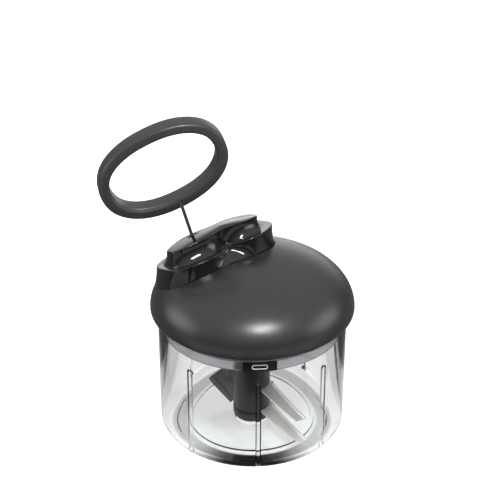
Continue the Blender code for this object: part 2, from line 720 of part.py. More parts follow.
def make_bowl():
    """The clear bowl, with its foot, floor ring, centre boss and inner ribs."""
    corner_z = BOWL_CORNER
    side = BOWL_RIM_RADIUS
    inner_base = BOWL_BASE_RADIUS - BOWL_WALL
    inner_side = BOWL_RIM_RADIUS - BOWL_WALL
    ring_low = FLOOR_RING_RADIUS - 0.5 * FLOOR_RING_WIDTH
    ring_high = FLOOR_RING_RADIUS + 0.5 * FLOOR_RING_WIDTH
    ring_z = FLOOR_TOP_Z + FLOOR_RING_HEIGHT
    boss_z = FLOOR_TOP_Z + BOSS_HEIGHT
    pin_hole = PIN_RADIUS + GAP
    profile = [(0.0, 0.0), (FOOT_PAD_RADIUS, 0.0), (FOOT_PAD_RADIUS + FOOT_SLOPE, FOOT_RECESS)]
    profile += [(FOOT_INNER_RADIUS - FOOT_SLOPE, FOOT_RECESS)]
    profile += [(FOOT_INNER_RADIUS, 0.0), (FOOT_OUTER_RADIUS, 0.0)]
    profile += arc(BOWL_BASE_RADIUS - BOWL_CORNER, corner_z, BOWL_CORNER, BOWL_CORNER_START, 0.0, CORNER_STEPS)
    profile += [(side, BOWL_HEIGHT - BOWL_RIM_ROUND), (side - BOWL_RIM_ROUND, BOWL_HEIGHT)]
    profile += [(inner_side + BOWL_RIM_ROUND, BOWL_HEIGHT)]
    profile += [(inner_side, BOWL_HEIGHT - BOWL_RIM_ROUND)]
    inner_corner_z = FLOOR_TOP_Z + BOWL_INNER_CORNER
    inner_corner_r = inner_base - BOWL_INNER_CORNER
    profile += arc(inner_corner_r, inner_corner_z, BOWL_INNER_CORNER, 0.0, -90.0, INNER_CORNER_STEPS)
    profile += [(ring_high, FLOOR_TOP_Z), (ring_high, ring_z), (ring_low, ring_z)]
    profile += [(ring_low, FLOOR_TOP_Z), (BOSS_RADIUS, FLOOR_TOP_Z), (BOSS_RADIUS, boss_z)]
    profile += [(pin_hole, boss_z), (pin_hole, PIN_SEAT_Z - GAP), (0.0, PIN_SEAT_Z - GAP)]
    bowl = add_piece("bowl", turned_mesh(profile, LARGE_SIDES), CLEAR_PLASTIC)
    rib_outer = inner_base + RIB_ROOT
    rib_inner = inner_base - RIB_DEPTH
    rib_low = FLOOR_TOP_Z + RIB_FOOT_RISE
    slab = [(rib_inner, rib_low), (rib_outer, rib_low), (rib_outer, RIB_TOP_Z)]
    slab += [(rib_inner, RIB_TOP_Z - RIB_CHAMFER)]
    half = 0.5 * RIB_WIDTH
    ribs = []
    for index in range(RIB_COUNT):
        sides = [[Vector((r, y, z)) for r, z in slab] for y in (-half, half)]
        azimuth = RIB_FIRST_AZIMUTH + 2.0 * math.pi * index / RIB_COUNT
        ribs.append((lofted_mesh(sides), turn_about_z(azimuth)))
    add_boolean(bowl, add_piece("bowl_ribs", merged(ribs), CLEAR_PLASTIC), "UNION")


def make_pivot_pin():
    """The steel pin that stands in the bowl's boss."""
    profile = [(0.0, PIN_SEAT_Z), (PIN_RADIUS, PIN_SEAT_Z), (PIN_RADIUS, PIN_TOP_Z - PIN_ROUND)]
    profile += [(PIN_RADIUS - PIN_ROUND, PIN_TOP_Z), (0.0, PIN_TOP_Z)]
    add_piece("pivot_pin", turned_mesh(profile, SMALL_SIDES), STEEL)


def screw_hole(radius, azimuth, low_z):
    """A blind screw hole that starts at a height."""
    hole = cylinder_mesh(SCREW_HOLE_RADIUS, low_z - GAP, low_z + SCREW_HOLE_DEPTH, TINY_SIDES)
    return hole, at_polar(radius, azimuth)


def make_dome_cover():
    """The lid's satin dome: a shell with an opening for the handle rest and four screw bosses."""
    profile = dome_curve(0.0, DOME_STEPS)
    profile += [(DOME_RADIUS - DOME_EDGE_ROUND, DOME_EDGE_Z)]
    profile += [(DOME_RADIUS - DOME_WALL, DOME_EDGE_Z)]
    profile += list(reversed(dome_curve(DOME_WALL, DOME_INNER_STEPS)))
    dome = add_piece("dome_cover", turned_mesh(profile, LARGE_SIDES), SATIN_BLACK)
    outline = [rest_point(u, v) for u, v in rest_base_outline(GAP)]
    opening = add_piece("dome_opening", prism_mesh(outline, CUT_BOTTOM_Z, CUT_TOP_Z), SATIN_BLACK)
    add_boolean(dome, opening, "DIFFERENCE")
    seat_z = BASE_TOP_Z + GAP
    bosses = []
    holes = []
    for azimuth in DOME_BOSS_AZIMUTHS:
        place = at_polar(DOME_BOSS_CENTRE_RADIUS, azimuth)
        crown_z = DOME_BASE_Z + DOME_RISE
        bosses.append((cylinder_mesh(DOME_BOSS_RADIUS, seat_z, crown_z, TINY_SIDES), place))
        holes.append(screw_hole(DOME_BOSS_CENTRE_RADIUS, azimuth, seat_z))
    boss_set = add_piece("dome_bosses", merged(bosses), SATIN_BLACK)
    core = dome_curve(0.5 * DOME_WALL, DOME_STEPS)
    core += [(DOME_RADIUS - DOME_WALL, DOME_EDGE_Z), (0.0, DOME_EDGE_Z)]
    core_piece = add_piece("dome_core", turned_mesh(core, LARGE_SIDES), SATIN_BLACK)
    add_boolean(boss_set, core_piece, "INTERSECT")
    add_boolean(dome, boss_set, "UNION")
    add_boolean(dome, add_piece("dome_holes", merged(holes), SATIN_BLACK), "DIFFERENCE")


def rest_post_places():
    """Plan positions of the two posts under the handle rest."""
    return [rest_point(side * REST_POST_OFFSET, 0.0) for side in (-1.0, 1.0)]


def make_handle_rest():
    """The glossy step and island set into the dome, hollow, on two posts."""
    outer = rest_rings(0.0)
    inner = rest_rings(REST_WALL)
    bm = lofted_mesh(outer, end_point=rest_crown_point(0.0))
    rest = add_piece("handle_rest", bm, GLOSS_BLACK)
    hollow_foot = [Vector((p.x, p.y, p.z - REST_TUCK)) for p in inner[0]]
    hollow = lofted_mesh([hollow_foot] + inner, end_point=rest_crown_point(REST_WALL))
    add_boolean(rest, add_piece("rest_hollow", hollow, GLOSS_BLACK), "DIFFERENCE")
    seat_z = BASE_TOP_Z + GAP
    posts = []
    holes = []
    for x, y in rest_post_places():
        place = Matrix.Translation((x, y, 0.0))
        posts.append((cylinder_mesh(REST_POST_RADIUS, seat_z, CUT_TOP_Z, TINY_SIDES), place))
        holes.append(screw_hole(math.hypot(x, y), math.atan2(y, x), seat_z))
    post_set = add_piece("rest_posts", merged(posts), GLOSS_BLACK)
    rings = rest_rings(0.5 * REST_WALL)
    foot = [Vector((p.x, p.y, BASE_UNDER_Z)) for p in rings[0]]
    core = lofted_mesh([foot] + rings[1:], end_point=rest_crown_point(0.5 * REST_WALL))
    add_boolean(post_set, add_piece("rest_core", core, GLOSS_BLACK), "INTERSECT")
    add_boolean(rest, post_set, "UNION")
    add_boolean(rest, add_piece("rest_holes", merged(holes), GLOSS_BLACK), "DIFFERENCE")
    place = frame_along(CORD_HOLE, REST_NORMAL)
    bore = cylinder_mesh(EYELET_RADIUS + GAP, -EYELET_FLANGE_BOTTOM, EYELET_FLANGE_BOTTOM)
    add_boolean(rest, add_piece("rest_cord_bore", bore, GLOSS_BLACK, place), "DIFFERENCE")


def make_cord_eyelet():
    """The smooth bush that leads the cord out through the island's top."""
    profile = [(EYELET_BORE_RADIUS, EYELET_PROUD), (EYELET_BORE_RADIUS, -EYELET_FLANGE_BOTTOM)]
    profile += [(EYELET_FLANGE_RADIUS, -EYELET_FLANGE_BOTTOM)]
    profile += [(EYELET_FLANGE_RADIUS, -EYELET_FLANGE_TOP), (EYELET_RADIUS, -EYELET_FLANGE_TOP)]
    profile += [(EYELET_RADIUS, EYELET_PROUD)]
    place = frame_along(CORD_HOLE, REST_NORMAL)
    add_piece("cord_eyelet", turned_mesh(profile, SMALL_SIDES), NYLON_BLACK, place)


def make_lid_base():
    """The round plate under the dome, with the skirt that plugs the bowl."""
    bush_hole = BUSH_RADIUS + GAP
    profile = [(bush_hole, BASE_BOSS_Z), (BASE_BOSS_RADIUS, BASE_BOSS_Z)]
    profile += [(BASE_BOSS_RADIUS, BASE_UNDER_Z), (SKIRT_INNER_RADIUS, BASE_UNDER_Z)]
    profile += [(SKIRT_INNER_RADIUS, SKIRT_BOTTOM_Z), (SKIRT_OUTER_RADIUS, SKIRT_BOTTOM_Z)]
    profile += [(SKIRT_OUTER_RADIUS, SEAL_LOW_Z), (SEAL_GROOVE_RADIUS, SEAL_LOW_Z)]
    profile += [(SEAL_GROOVE_RADIUS, SEAL_HIGH_Z), (SKIRT_OUTER_RADIUS, SEAL_HIGH_Z)]
    profile += [(SKIRT_OUTER_RADIUS, BASE_UNDER_Z), (BASE_FLANGE_RADIUS, BASE_UNDER_Z)]
    profile += [(BASE_FLANGE_RADIUS, BASE_TOP_Z), (bush_hole, BASE_TOP_Z)]
    base = add_piece("lid_base", turned_mesh(profile, LARGE_SIDES), SKIRT_PLASTIC)
    holes = []
    for radius, azimuth in screw_places().values():
        holes.append(screw_hole(radius, azimuth, SEAL_HIGH_Z))
    add_boolean(base, add_piece("lid_base_holes", merged(holes), SKIRT_PLASTIC), "DIFFERENCE")


def make_lid_seal():
    """The rubber ring in the skirt's groove."""
    inner = SEAL_GROOVE_RADIUS + GAP
    low = SEAL_LOW_Z + GAP
    high = SEAL_HIGH_Z - GAP
    profile = [(inner, low), (SEAL_OUTER_RADIUS - SEAL_LIP, low), (SEAL_OUTER_RADIUS, low + SEAL_LIP)]
    profile += [(SEAL_OUTER_RADIUS, high - SEAL_LIP), (SEAL_OUTER_RADIUS - SEAL_LIP, high)]
    profile += [(inner, high)]
    add_piece("lid_seal", turned_mesh(profile, LARGE_SIDES), SEAL_RUBBER)


def screw_places():
    """Radius and azimuth of each screw that enters from under the lid base."""
    places = {}
    for index, azimuth in enumerate(DOME_BOSS_AZIMUTHS):
        places[f"base_screw_{index + 1}"] = (DOME_BOSS_CENTRE_RADIUS, azimuth)
    for index, (x, y) in enumerate(rest_post_places()):
        places[f"rest_screw_{index + 1}"] = (math.hypot(x, y), math.atan2(y, x))
    for index, azimuth in enumerate(BRACKET_AZIMUTHS):
        places[f"bracket_screw_{index + 1}"] = (BRACKET_LEG_RADIUS, azimuth)
    return places


def screw_mesh(length):
    """A screw with its head down, the head's bearing face at height zero."""
    profile = [(0.0, -SCREW_HEAD_HEIGHT), (SCREW_HEAD_RADIUS - SCREW_CHAMFER, -SCREW_HEAD_HEIGHT)]
    profile += [(SCREW_HEAD_RADIUS, -SCREW_HEAD_HEIGHT + SCREW_CHAMFER), (SCREW_HEAD_RADIUS, 0.0)]
    profile += [(SCREW_SHANK_RADIUS, 0.0), (SCREW_SHANK_RADIUS, length - SCREW_CHAMFER)]
    profile += [(SCREW_SHANK_RADIUS - SCREW_CHAMFER, length), (0.0, length)]
    return turned_mesh(profile, TINY_SIDES)


def make_screws():
    """The screws that hold the dome, the handle rest and the bracket to the lid base."""
    for name, (radius, azimuth) in screw_places().items():
        place = at_polar(radius, azimuth, BASE_UNDER_Z - GAP)
        add_piece(name, screw_mesh(SCREW_LENGTH), SCREW_STEEL, place)


def bracket_low_z():
    """Underside of the bracket's plate."""
    return REEL_TOP_Z + GAP + COVER_THICKNESS + GAP + WASHER_THICKNESS + GAP


def make_bracket():
    """The three-legged bridge over the reel."""
    low = bracket_low_z()
    high = low + BRACKET_THICKNESS
    bracket = add_piece("mechanism_bracket", cylinder_mesh(BRACKET_HUB_RADIUS, low, high, MEDIUM_SIDES),
                        NYLON_BLACK)
    inner = BRACKET_LEG_RADIUS - 0.5 * BRACKET_LEG_DEPTH
    outer = BRACKET_LEG_RADIUS + 0.5 * BRACKET_LEG_DEPTH
    half = 0.5 * BRACKET_LEG_WIDTH
    seat_z = BASE_TOP_Z + GAP
    section = [(0.5 * BRACKET_HUB_RADIUS, low), (inner, low), (inner, seat_z), (outer, seat_z)]
    section += [(outer, high), (0.5 * BRACKET_HUB_RADIUS, high)]
    legs = []
    holes = []
    for azimuth in BRACKET_AZIMUTHS:
        sides = [[Vector((r, y, z)) for r, z in section] for y in (-half, half)]
        legs.append((lofted_mesh(sides), turn_about_z(azimuth)))
        holes.append(screw_hole(BRACKET_LEG_RADIUS, azimuth, seat_z))
    add_boolean(bracket, add_piece("bracket_legs", merged(legs), NYLON_BLACK), "UNION")
    bore = cylinder_mesh(AXLE_RADIUS + GAP, low - BRACKET_THICKNESS, high + BRACKET_THICKNESS)
    holes.append((bore, Matrix.Identity(4)))
    add_boolean(bracket, add_piece("bracket_holes", merged(holes), NYLON_BLACK), "DIFFERENCE")


def make_reel_axle():
    """The headed steel shaft that hangs from the bracket through the reel."""
    shoulder = bracket_low_z() + BRACKET_THICKNESS + GAP
    clip_low = CLIP_LOW_Z - GAP
    clip_high = CLIP_LOW_Z + CLIP_THICKNESS + GAP
    profile = [(0.0, AXLE_BOTTOM_Z), (AXLE_RADIUS, AXLE_BOTTOM_Z), (AXLE_RADIUS, clip_low)]
    profile += [(CLIP_GROOVE_RADIUS, clip_low), (CLIP_GROOVE_RADIUS, clip_high)]
    profile += [(AXLE_RADIUS, clip_high), (AXLE_RADIUS, shoulder), (AXLE_HEAD_RADIUS, shoulder)]
    profile += [(AXLE_HEAD_RADIUS, shoulder + AXLE_HEAD_THICKNESS)]
    profile += [(0.0, shoulder + AXLE_HEAD_THICKNESS)]
    add_piece("reel_axle", turned_mesh(profile, SMALL_SIDES), STEEL)


def make_axle_clip():
    """The open ring that keeps the reel on its axle."""
    inner = CLIP_GROOVE_RADIUS + GAP
    mouth = math.asin(0.5 * CLIP_MOUTH / CLIP_OUTER_RADIUS)
    steps = SMALL_SIDES
    angles = [mouth + (2.0 * math.pi - 2.0 * mouth) * k / steps for k in range(steps + 1)]
    outline = [(CLIP_OUTER_RADIUS * math.cos(a), CLIP_OUTER_RADIUS * math.sin(a)) for a in angles]
    outline += [(inner * math.cos(a), inner * math.sin(a)) for a in reversed(angles)]
    clip = prism_mesh(outline, CLIP_LOW_Z, CLIP_LOW_Z + CLIP_THICKNESS)
    add_piece("axle_clip", clip, SPRING_STEEL)


def make_thrust_washer():
    """The washer between the reel's cover and the bracket."""
    low = REEL_TOP_Z + GAP + COVER_THICKNESS + GAP
    high = low + WASHER_THICKNESS
    bore = AXLE_RADIUS + GAP
    profile = [(bore, low), (WASHER_RADIUS, low), (WASHER_RADIUS, high), (bore, high)]
    add_piece("thrust_washer", turned_mesh(profile, SMALL_SIDES), NYLON_WHITE)


def make_output_bush():
    """The flanged bush in the middle of the lid base."""
    low = BASE_TOP_Z + GAP
    high = low + BUSH_FLANGE_THICKNESS
    profile = [(BUSH_BORE_RADIUS, BUSH_BOTTOM_Z), (BUSH_RADIUS, BUSH_BOTTOM_Z), (BUSH_RADIUS, low)]
    profile += [(BUSH_FLANGE_RADIUS, low), (BUSH_FLANGE_RADIUS, high), (BUSH_BORE_RADIUS, high)]
    add_piece("output_bush", turned_mesh(profile, SMALL_SIDES), NYLON_WHITE)


def make_reel():
    """The cord reel: a groove outside, a ratchet ring below and a spring chamber above."""
    bore = AXLE_RADIUS + RUN
    profile = [(RATCHET_RADIUS, REEL_BOTTOM_Z), (REEL_FLANGE_RADIUS, REEL_BOTTOM_Z)]
    profile += [(REEL_FLANGE_RADIUS, GROOVE_LOW_Z), (DRUM_RADIUS, GROOVE_LOW_Z)]
    profile += [(DRUM_RADIUS, GROOVE_HIGH_Z), (REEL_FLANGE_RADIUS, GROOVE_HIGH_Z)]
    profile += [(REEL_FLANGE_RADIUS, REEL_TOP_Z), (CHAMBER_RADIUS, REEL_TOP_Z)]
    profile += [(CHAMBER_RADIUS, CHAMBER_FLOOR_Z), (REEL_HUB_RADIUS, CHAMBER_FLOOR_Z)]
    profile += [(REEL_HUB_RADIUS, REEL_TOP_Z), (bore, REEL_TOP_Z), (bore, RATCHET_ROOF_Z)]
    profile += [(RATCHET_RADIUS, RATCHET_ROOF_Z)]
    reel = add_piece("reel", turned_mesh(profile, MEDIUM_SIDES), NYLON_WHITE)
    notch_inner = RATCHET_RADIUS - RATCHET_TOOTH_DEPTH
    notch_outer = RATCHET_RADIUS + RATCHET_TOOTH_DEPTH
    step = math.pi / RATCHET_TEETH
    notch = [(notch_inner, 0.0), (notch_outer * math.cos(step), notch_outer * math.sin(step))]
    notch += [(notch_inner * math.cos(step), notch_inner * math.sin(step))]
    low = REEL_BOTTOM_Z - GAP
    teeth = [
        (prism_mesh(notch, low, RATCHET_ROOF_Z - GAP), turn_about_z(2.0 * step * index))
        for index in range(RATCHET_TEETH)
    ]
    add_boolean(reel, add_piece("reel_teeth", merged(teeth), NYLON_WHITE), "DIFFERENCE")


def make_reel_cover():
    """The disc that closes the spring chamber."""
    bore = AXLE_RADIUS + RUN
    low = REEL_TOP_Z + GAP
    high = low + COVER_THICKNESS
    profile = [(bore, low), (REEL_FLANGE_RADIUS, low), (REEL_FLANGE_RADIUS, high), (bore, high)]
    add_piece("reel_cover", turned_mesh(profile, MEDIUM_SIDES), NYLON_WHITE)


def make_cord_winding():
    """The turns of cord that stay on the drum, as one ring with a groove between turns."""
    inner = DRUM_RADIUS + GAP
    profile = []
    top = CORD_LEVEL_Z - CORD_RADIUS - GAP
    low = GROOVE_LOW_Z + GAP
    turn_height = (top - low) / WINDING_TURNS
    bulge = math.degrees(math.asin(min(WINDING_FILL_SHARE * turn_height / (CORD_RADIUS + CORD_RADIUS), 1.0)))
    profile += [(inner, top), (inner, low)]
    for index in range(WINDING_TURNS):
        middle = low + (index + 0.5) * turn_height
        profile += arc(inner + CORD_RADIUS, middle, CORD_RADIUS, -bulge, bulge, CORNER_STEPS)
    add_piece("cord_winding", turned_mesh(profile, MEDIUM_SIDES), CORD_BLACK)


def make_recoil_spring():
    """The flat spiral spring in the reel's chamber."""
    steps = SPRING_TURNS * SPRING_STEPS_PER_TURN
    low = CHAMBER_FLOOR_Z + GAP
    high = low + SPRING_HEIGHT
    rings = []
    for step in range(steps + 1):
        angle = 2.0 * math.pi * step / SPRING_STEPS_PER_TURN
        radius = SPRING_INNER_RADIUS + (SPRING_OUTER_RADIUS - SPRING_INNER_RADIUS) * step / steps
        outward = Vector((math.cos(angle), math.sin(angle), 0.0))
        near = outward * (radius - 0.5 * SPRING_THICKNESS)
        far = outward * (radius + 0.5 * SPRING_THICKNESS)
        rings.append([near + UP * low, far + UP * low, far + UP * high, near + UP * high])
    add_piece("recoil_spring", lofted_mesh(rings), SPRING_STEEL)


def make_drive_ratchet():
    """The shaft and disc under the reel, with three flexible tongues that catch its teeth."""
    top_bore = SCREW_HOLE_RADIUS
    profile = [(top_bore, SPIGOT_BOTTOM_Z), (SPIGOT_RADIUS, SPIGOT_BOTTOM_Z)]
    profile += [(SPIGOT_RADIUS, SHAFT_SHOULDER_Z), (SHAFT_RADIUS, SHAFT_SHOULDER_Z)]
    profile += [(SHAFT_RADIUS, DISC_LOW_Z), (DISC_RADIUS, DISC_LOW_Z), (DISC_RADIUS, DISC_HIGH_Z)]
    profile += [(0.0, DISC_HIGH_Z), (0.0, SHAFT_HOLE_TOP_Z), (top_bore, SHAFT_HOLE_TOP_Z)]
    ratchet = add_piece("drive_ratchet", turned_mesh(profile, MEDIUM_SIDES), NYLON_BLACK)
    outline = []
    for side in (0.0, TONGUE_THICKNESS):
        stretch = []
        for step in range(TONGUE_STEPS + 1):
            share = step / TONGUE_STEPS
            radius = TONGUE_RADIUS - side + (TONGUE_TIP_RADIUS - TONGUE_RADIUS) * share ** 2
            angle = TONGUE_SPAN * share
            stretch.append((radius * math.cos(angle), radius * math.sin(angle)))
        outline += stretch if side == 0.0 else list(reversed(stretch))
    tongues = []
    for index in range(TONGUE_COUNT):
        tongue = prism_mesh(outline, DISC_HIGH_Z - TONGUE_FOOT, TONGUE_TOP_Z)
        tongues.append((tongue, turn_about_z(2.0 * math.pi * index / TONGUE_COUNT)))
    add_boolean(ratchet, add_piece("ratchet_tongues", merged(tongues), NYLON_BLACK), "UNION")


def hexagon(radius):
    """Corners of a hexagon."""
    return circle_points(radius, 6)


def make_drive_socket():
    """The socket on the shaft's end that takes the blade unit's hexagon."""
    spigot_hole = SPIGOT_RADIUS + GAP
    profile = [(SCREW_HOLE_RADIUS, SOCKET_BOTTOM_Z), (SOCKET_RADIUS, SOCKET_BOTTOM_Z)]
    profile += [(SOCKET_RADIUS, SOCKET_TOP_Z), (spigot_hole, SOCKET_TOP_Z)]
    profile += [(spigot_hole, SOCKET_WEB_HIGH_Z), (SCREW_HOLE_RADIUS, SOCKET_WEB_HIGH_Z)]
    socket = add_piece("drive_socket", turned_mesh(profile, MEDIUM_SIDES), NYLON_BLACK)
    low = SOCKET_BOTTOM_Z - SOCKET_RADIUS
    cavity = prism_mesh(hexagon(HEX_RADIUS + HEX_CLEARANCE), low, SOCKET_WEB_LOW_Z)
    add_boolean(socket, add_piece("socket_cavity", cavity, NYLON_BLACK), "DIFFERENCE")


def make_drive_screw():
    """The screw that holds the socket on the shaft."""
    place = Matrix.Translation((0.0, 0.0, SOCKET_WEB_LOW_Z - GAP))
    add_piece("drive_screw", screw_mesh(DRIVE_SCREW_LENGTH), SCREW_STEEL, place)


def cord_tube(name, route, finish):
    """A round cord along a route, with closed ends."""
    curve = bpy.data.curves.new(name, "CURVE")
    curve.dimensions = "3D"
    curve.bevel_depth = CORD_RADIUS
    curve.bevel_resolution = 2
    curve.use_fill_caps = True
    spline = curve.splines.new("POLY")
    spline.points.add(len(route) - 1)
    for point, place in zip(spline.points, route):
        point.co = (*place, 1.0)
    curve.materials.append(material(finish))
    cord = bpy.data.objects.new(name, curve)
    bpy.context.scene.collection.objects.link(cord)


def make_cords():
    """The cord from the reel to the eyelet, its free stretch, and its last bit at the handle."""
    tangent = cord_tangent()
    bend = cord_bend(0.0, 0.0)
    eyelet_top = CORD_HOLE + REST_NORMAL * EYELET_FLANGE_RADIUS
    cord_tube("cord_lead", [tangent] + bend[1:-1] + [eyelet_top], CORD_BLACK)
    end = cord_end_point()
    end_start = end - REST_NORMAL * CORD_END_LENGTH
    span_start = eyelet_top + REST_NORMAL * GAP
    span_end = end_start - REST_NORMAL * GAP
    cord_tube("cord_span", [span_start, span_end], CORD_BLACK)
    cord_tube("cord_end", [end_start, end], CORD_BLACK)


def make_cord_guide():
    """The bent tube on a post that turns the cord up towards the eyelet."""
    route = cord_bend(GUIDE_RUN_IN, GUIDE_RUN_OUT)
    across = (route[1] - route[0]).cross(REST_NORMAL).normalized()
    tubes = {}
    outer = ("cord_guide", GUIDE_RADIUS, 0.0)
    inner = ("guide_bore", GUIDE_BORE_RADIUS, GUIDE_RUN_IN)
    for name, radius, reach in (outer, inner):
        start = route[0] + (route[0] - route[1]).normalized() * reach
        end = route[-1] + REST_NORMAL * reach
        path = [start] + route[1:-1] + [end]
        rings = []
        for index, point in enumerate(path):
            before = path[max(index - 1, 0)]
            after = path[min(index + 1, len(path) - 1)]
            direction = (after - before).normalized()
            beside = direction.cross(across)
            ring = []
            for u, v in circle_points(radius, TINY_SIDES):
                ring.append(point + across * u + beside * v)
            rings.append(ring)
        tubes[name] = add_piece(name, lofted_mesh(rings), NYLON_WHITE)
    middle = route[len(route) // 2]
    seat_z = BASE_TOP_Z + GAP
    place = Matrix.Translation((middle.x, middle.y, 0.0))
    post = cylinder_mesh(GUIDE_POST_RADIUS, seat_z, middle.z)
    foot = cylinder_mesh(GUIDE_FOOT_RADIUS, seat_z, seat_z + GUIDE_FOOT_HEIGHT)
    guide = tubes["cord_guide"]
    add_boolean(guide, add_piece("guide_post", post, NYLON_WHITE, place), "UNION")
    add_boolean(guide, add_piece("guide_foot", foot, NYLON_WHITE, place), "UNION")
    add_boolean(guide, tubes["guide_bore"], "DIFFERENCE")


def ring_section_point(angle, inward, forward):
    """Point of the ring handle's bar, in the ring's own frame about its middle."""
    power = 2.0 / RING_EXPONENT
    cosine = math.cos(angle)
    sine = math.sin(angle)
    u = RING_HALF_LENGTH * math.copysign(abs(cosine) ** power, cosine)
    s = RING_HALF_HEIGHT * math.copysign(abs(sine) ** power, sine)
    slope_u = math.copysign(abs(u / RING_HALF_LENGTH) ** (RING_EXPONENT - 1.0), u) / RING_HALF_LENGTH
    slope_s = math.copysign(abs(s / RING_HALF_HEIGHT) ** (RING_EXPONENT - 1.0), s) / RING_HALF_HEIGHT
    normal = Vector((slope_u, slope_s, 0.0)).normalized()
    return Vector((u, s, forward)) - normal * inward


def ring_middle():
    """Middle of the ring, seen from the point where the cord meets it."""
    return Vector((0.0, RING_HALF_HEIGHT - CORD_SEAT_WIDTH, -CORD_SEAT_FRONT))


def tail_direction():
    """Direction of the cord's hole through the bar, from front to back, in the ring's frame."""
    drop = CORD_SEAT_WIDTH - CORD_SEAT_BACK_WIDTH
    return Vector((0.0, -drop, -RING_BAR_DEPTH)).normalized()


def handle_place():
    """Placement of the ring handle: its origin lies on the tilt axis."""
    return frame_at(cord_end_point(), *ring_axes())


def make_pull_handle():
    """The ring handle, with a hole for the cord and a pocket for its knot."""
    rings = []
    half_depth = 0.5 * RING_BAR_DEPTH
    for index in range(RING_SIDES):
        angle = 2.0 * math.pi * (index + 0.5) / RING_SIDES
        ring = []
        for width_share, depth_share in RING_SECTION_SHARES:
            inward = RING_BAR_WIDTH * width_share
            ring.append(ring_middle() + ring_section_point(angle, inward, half_depth * depth_share))
        rings.append(ring)
    place = handle_place()
    handle = add_piece("pull_handle", lofted_mesh(rings, ring_closed=True), HANDLE_BLACK, place)
    hole_start = Vector((0.0, 0.0, 0.0))
    direction = tail_direction()
    reach = RING_BAR_DEPTH + 2.0 * CORD_SEAT_FRONT
    bore = cylinder_mesh(TAIL_BORE_RADIUS, 0.0, reach, TINY_SIDES)
    bore_place = place @ frame_along(hole_start, direction)
    add_boolean(handle, add_piece("handle_bore", bore, HANDLE_BLACK, bore_place), "DIFFERENCE")
    pocket = cylinder_mesh(KNOT_POCKET_RADIUS, 0.0, KNOT_POCKET_DEPTH + RING_BAR_DEPTH)
    pocket_place = place @ frame_along(direction * knot_pocket_start(), direction)
    add_boolean(handle, add_piece("handle_pocket", pocket, HANDLE_BLACK, pocket_place), "DIFFERENCE")


def back_face_reach():
    """Distance from the cord's bend to the bar's back face, along the hole."""
    return (CORD_SEAT_FRONT + 0.5 * RING_BAR_DEPTH) / -tail_direction().z


def knot_pocket_start():
    """Distance from the cord's bend to the knot pocket's floor, along the hole."""
    return back_face_reach() - KNOT_POCKET_DEPTH


def make_cord_knot():
    """The cord's tail through the bar, with the knot that holds it there."""
    place = handle_place()
    start = CORD_RADIUS + GAP
    knot_middle = knot_pocket_start() + GAP + KNOT_RADIUS
    shank_end = knot_middle - KNOT_RADIUS * math.cos(math.asin(CORD_RADIUS / KNOT_RADIUS))
    profile = [(0.0, start), (CORD_RADIUS, start), (CORD_RADIUS, shank_end)]
    profile += arc(0.0, knot_middle, KNOT_RADIUS, KNOT_ARC_START, 90.0, KNOT_STEPS)[:-1]
    profile += [(0.0, knot_middle + KNOT_RADIUS)]
    frame = place @ frame_along(Vector((0.0, 0.0, 0.0)), tail_direction())
    add_piece("cord_knot", turned_mesh(profile, SMALL_SIDES), CORD_BLACK, frame)


def make_knot_plug():
    """The button that closes the knot's pocket at the back of the ring."""
    place = handle_place()
    top = back_face_reach() - PLUG_SUNK
    low = top - PLUG_THICKNESS
    profile = [(0.0, low), (PLUG_RADIUS, low), (PLUG_RADIUS, top), (0.0, top)]
    frame = place @ frame_along(Vector((0.0, 0.0, 0.0)), tail_direction())
    add_piece("knot_plug", turned_mesh(profile, SMALL_SIDES), HANDLE_BLACK, frame)


def blade_outline(tip_length, margin=0.0, slot=False):
    """Flat outline of a blade, rounded at the tip and ending in an eye, or of a slot for it."""
    edge = BLADE_EDGE_OFFSET + margin
    tip = tip_length + margin
    root = HUB_TUBE_RADIUS if slot else BLADE_ROOT_LENGTH
    taper = (BLADE_TIP_BACK - BLADE_ROOT_BACK) / (BLADE_TIP_LENGTH - BLADE_ROOT_LENGTH)
    outline = [(root, edge)]
    for step in range(BLADE_TIP_STEPS + 1):
        angle = 0.5 * math.pi * (1.0 - step / BLADE_TIP_STEPS)
        along = tip + BLADE_TIP_ROUND * (math.cos(angle) - 1.0)
        outline.append((along, edge + BLADE_TIP_ROUND * (math.sin(angle) - 1.0)))
    for along in (tip - BLADE_TIP_DROP, root):
        outline.append((along, BLADE_ROOT_BACK + taper * (along - BLADE_ROOT_LENGTH) - margin))
    if slot:
        return outline
    start = math.atan2(BLADE_ROOT_BACK, BLADE_EYE_RADIUS)
    end = math.atan2(BLADE_EYE_RADIUS, BLADE_ROOT_LENGTH) - 2.0 * math.pi
    for step in range(1, BLADE_EYE_STEPS + 1):
        angle = start + (end - start) * step / BLADE_EYE_STEPS
        outline.append((BLADE_EYE_RADIUS * math.cos(angle), BLADE_EYE_RADIUS * math.sin(angle)))
    return outline


def make_blade(name, low_z, tip_length):
    """One flat steel blade with its eye round the hub's inner tube."""
    place = turn_about_z(BLADE_AZIMUTH)
    bm = prism_mesh(blade_outline(tip_length), low_z, low_z + BLADE_THICKNESS)
    blade = add_piece(name, bm, STEEL, place)
    bore = cylinder_mesh(BLADE_EYE_BORE_RADIUS, low_z - BLADE_THICKNESS, low_z + 2.0 * BLADE_THICKNESS)
    add_boolean(blade, add_piece(f"{name}_eye", bore, STEEL), "DIFFERENCE")


def blade_slot(name, low_z, open_below):
    """Cutter for the slot that a blade passes through."""
    low = low_z - BLADE_SLOT
    if open_below:
        low -= HUB_WALL
    outline = blade_outline(UPPER_BLADE_TIP_LENGTH, BLADE_SLOT, slot=True)
    bm = prism_mesh(outline, low, low_z + BLADE_THICKNESS + BLADE_SLOT)
    return add_piece(name, bm, NYLON_BLACK, turn_about_z(BLADE_AZIMUTH))


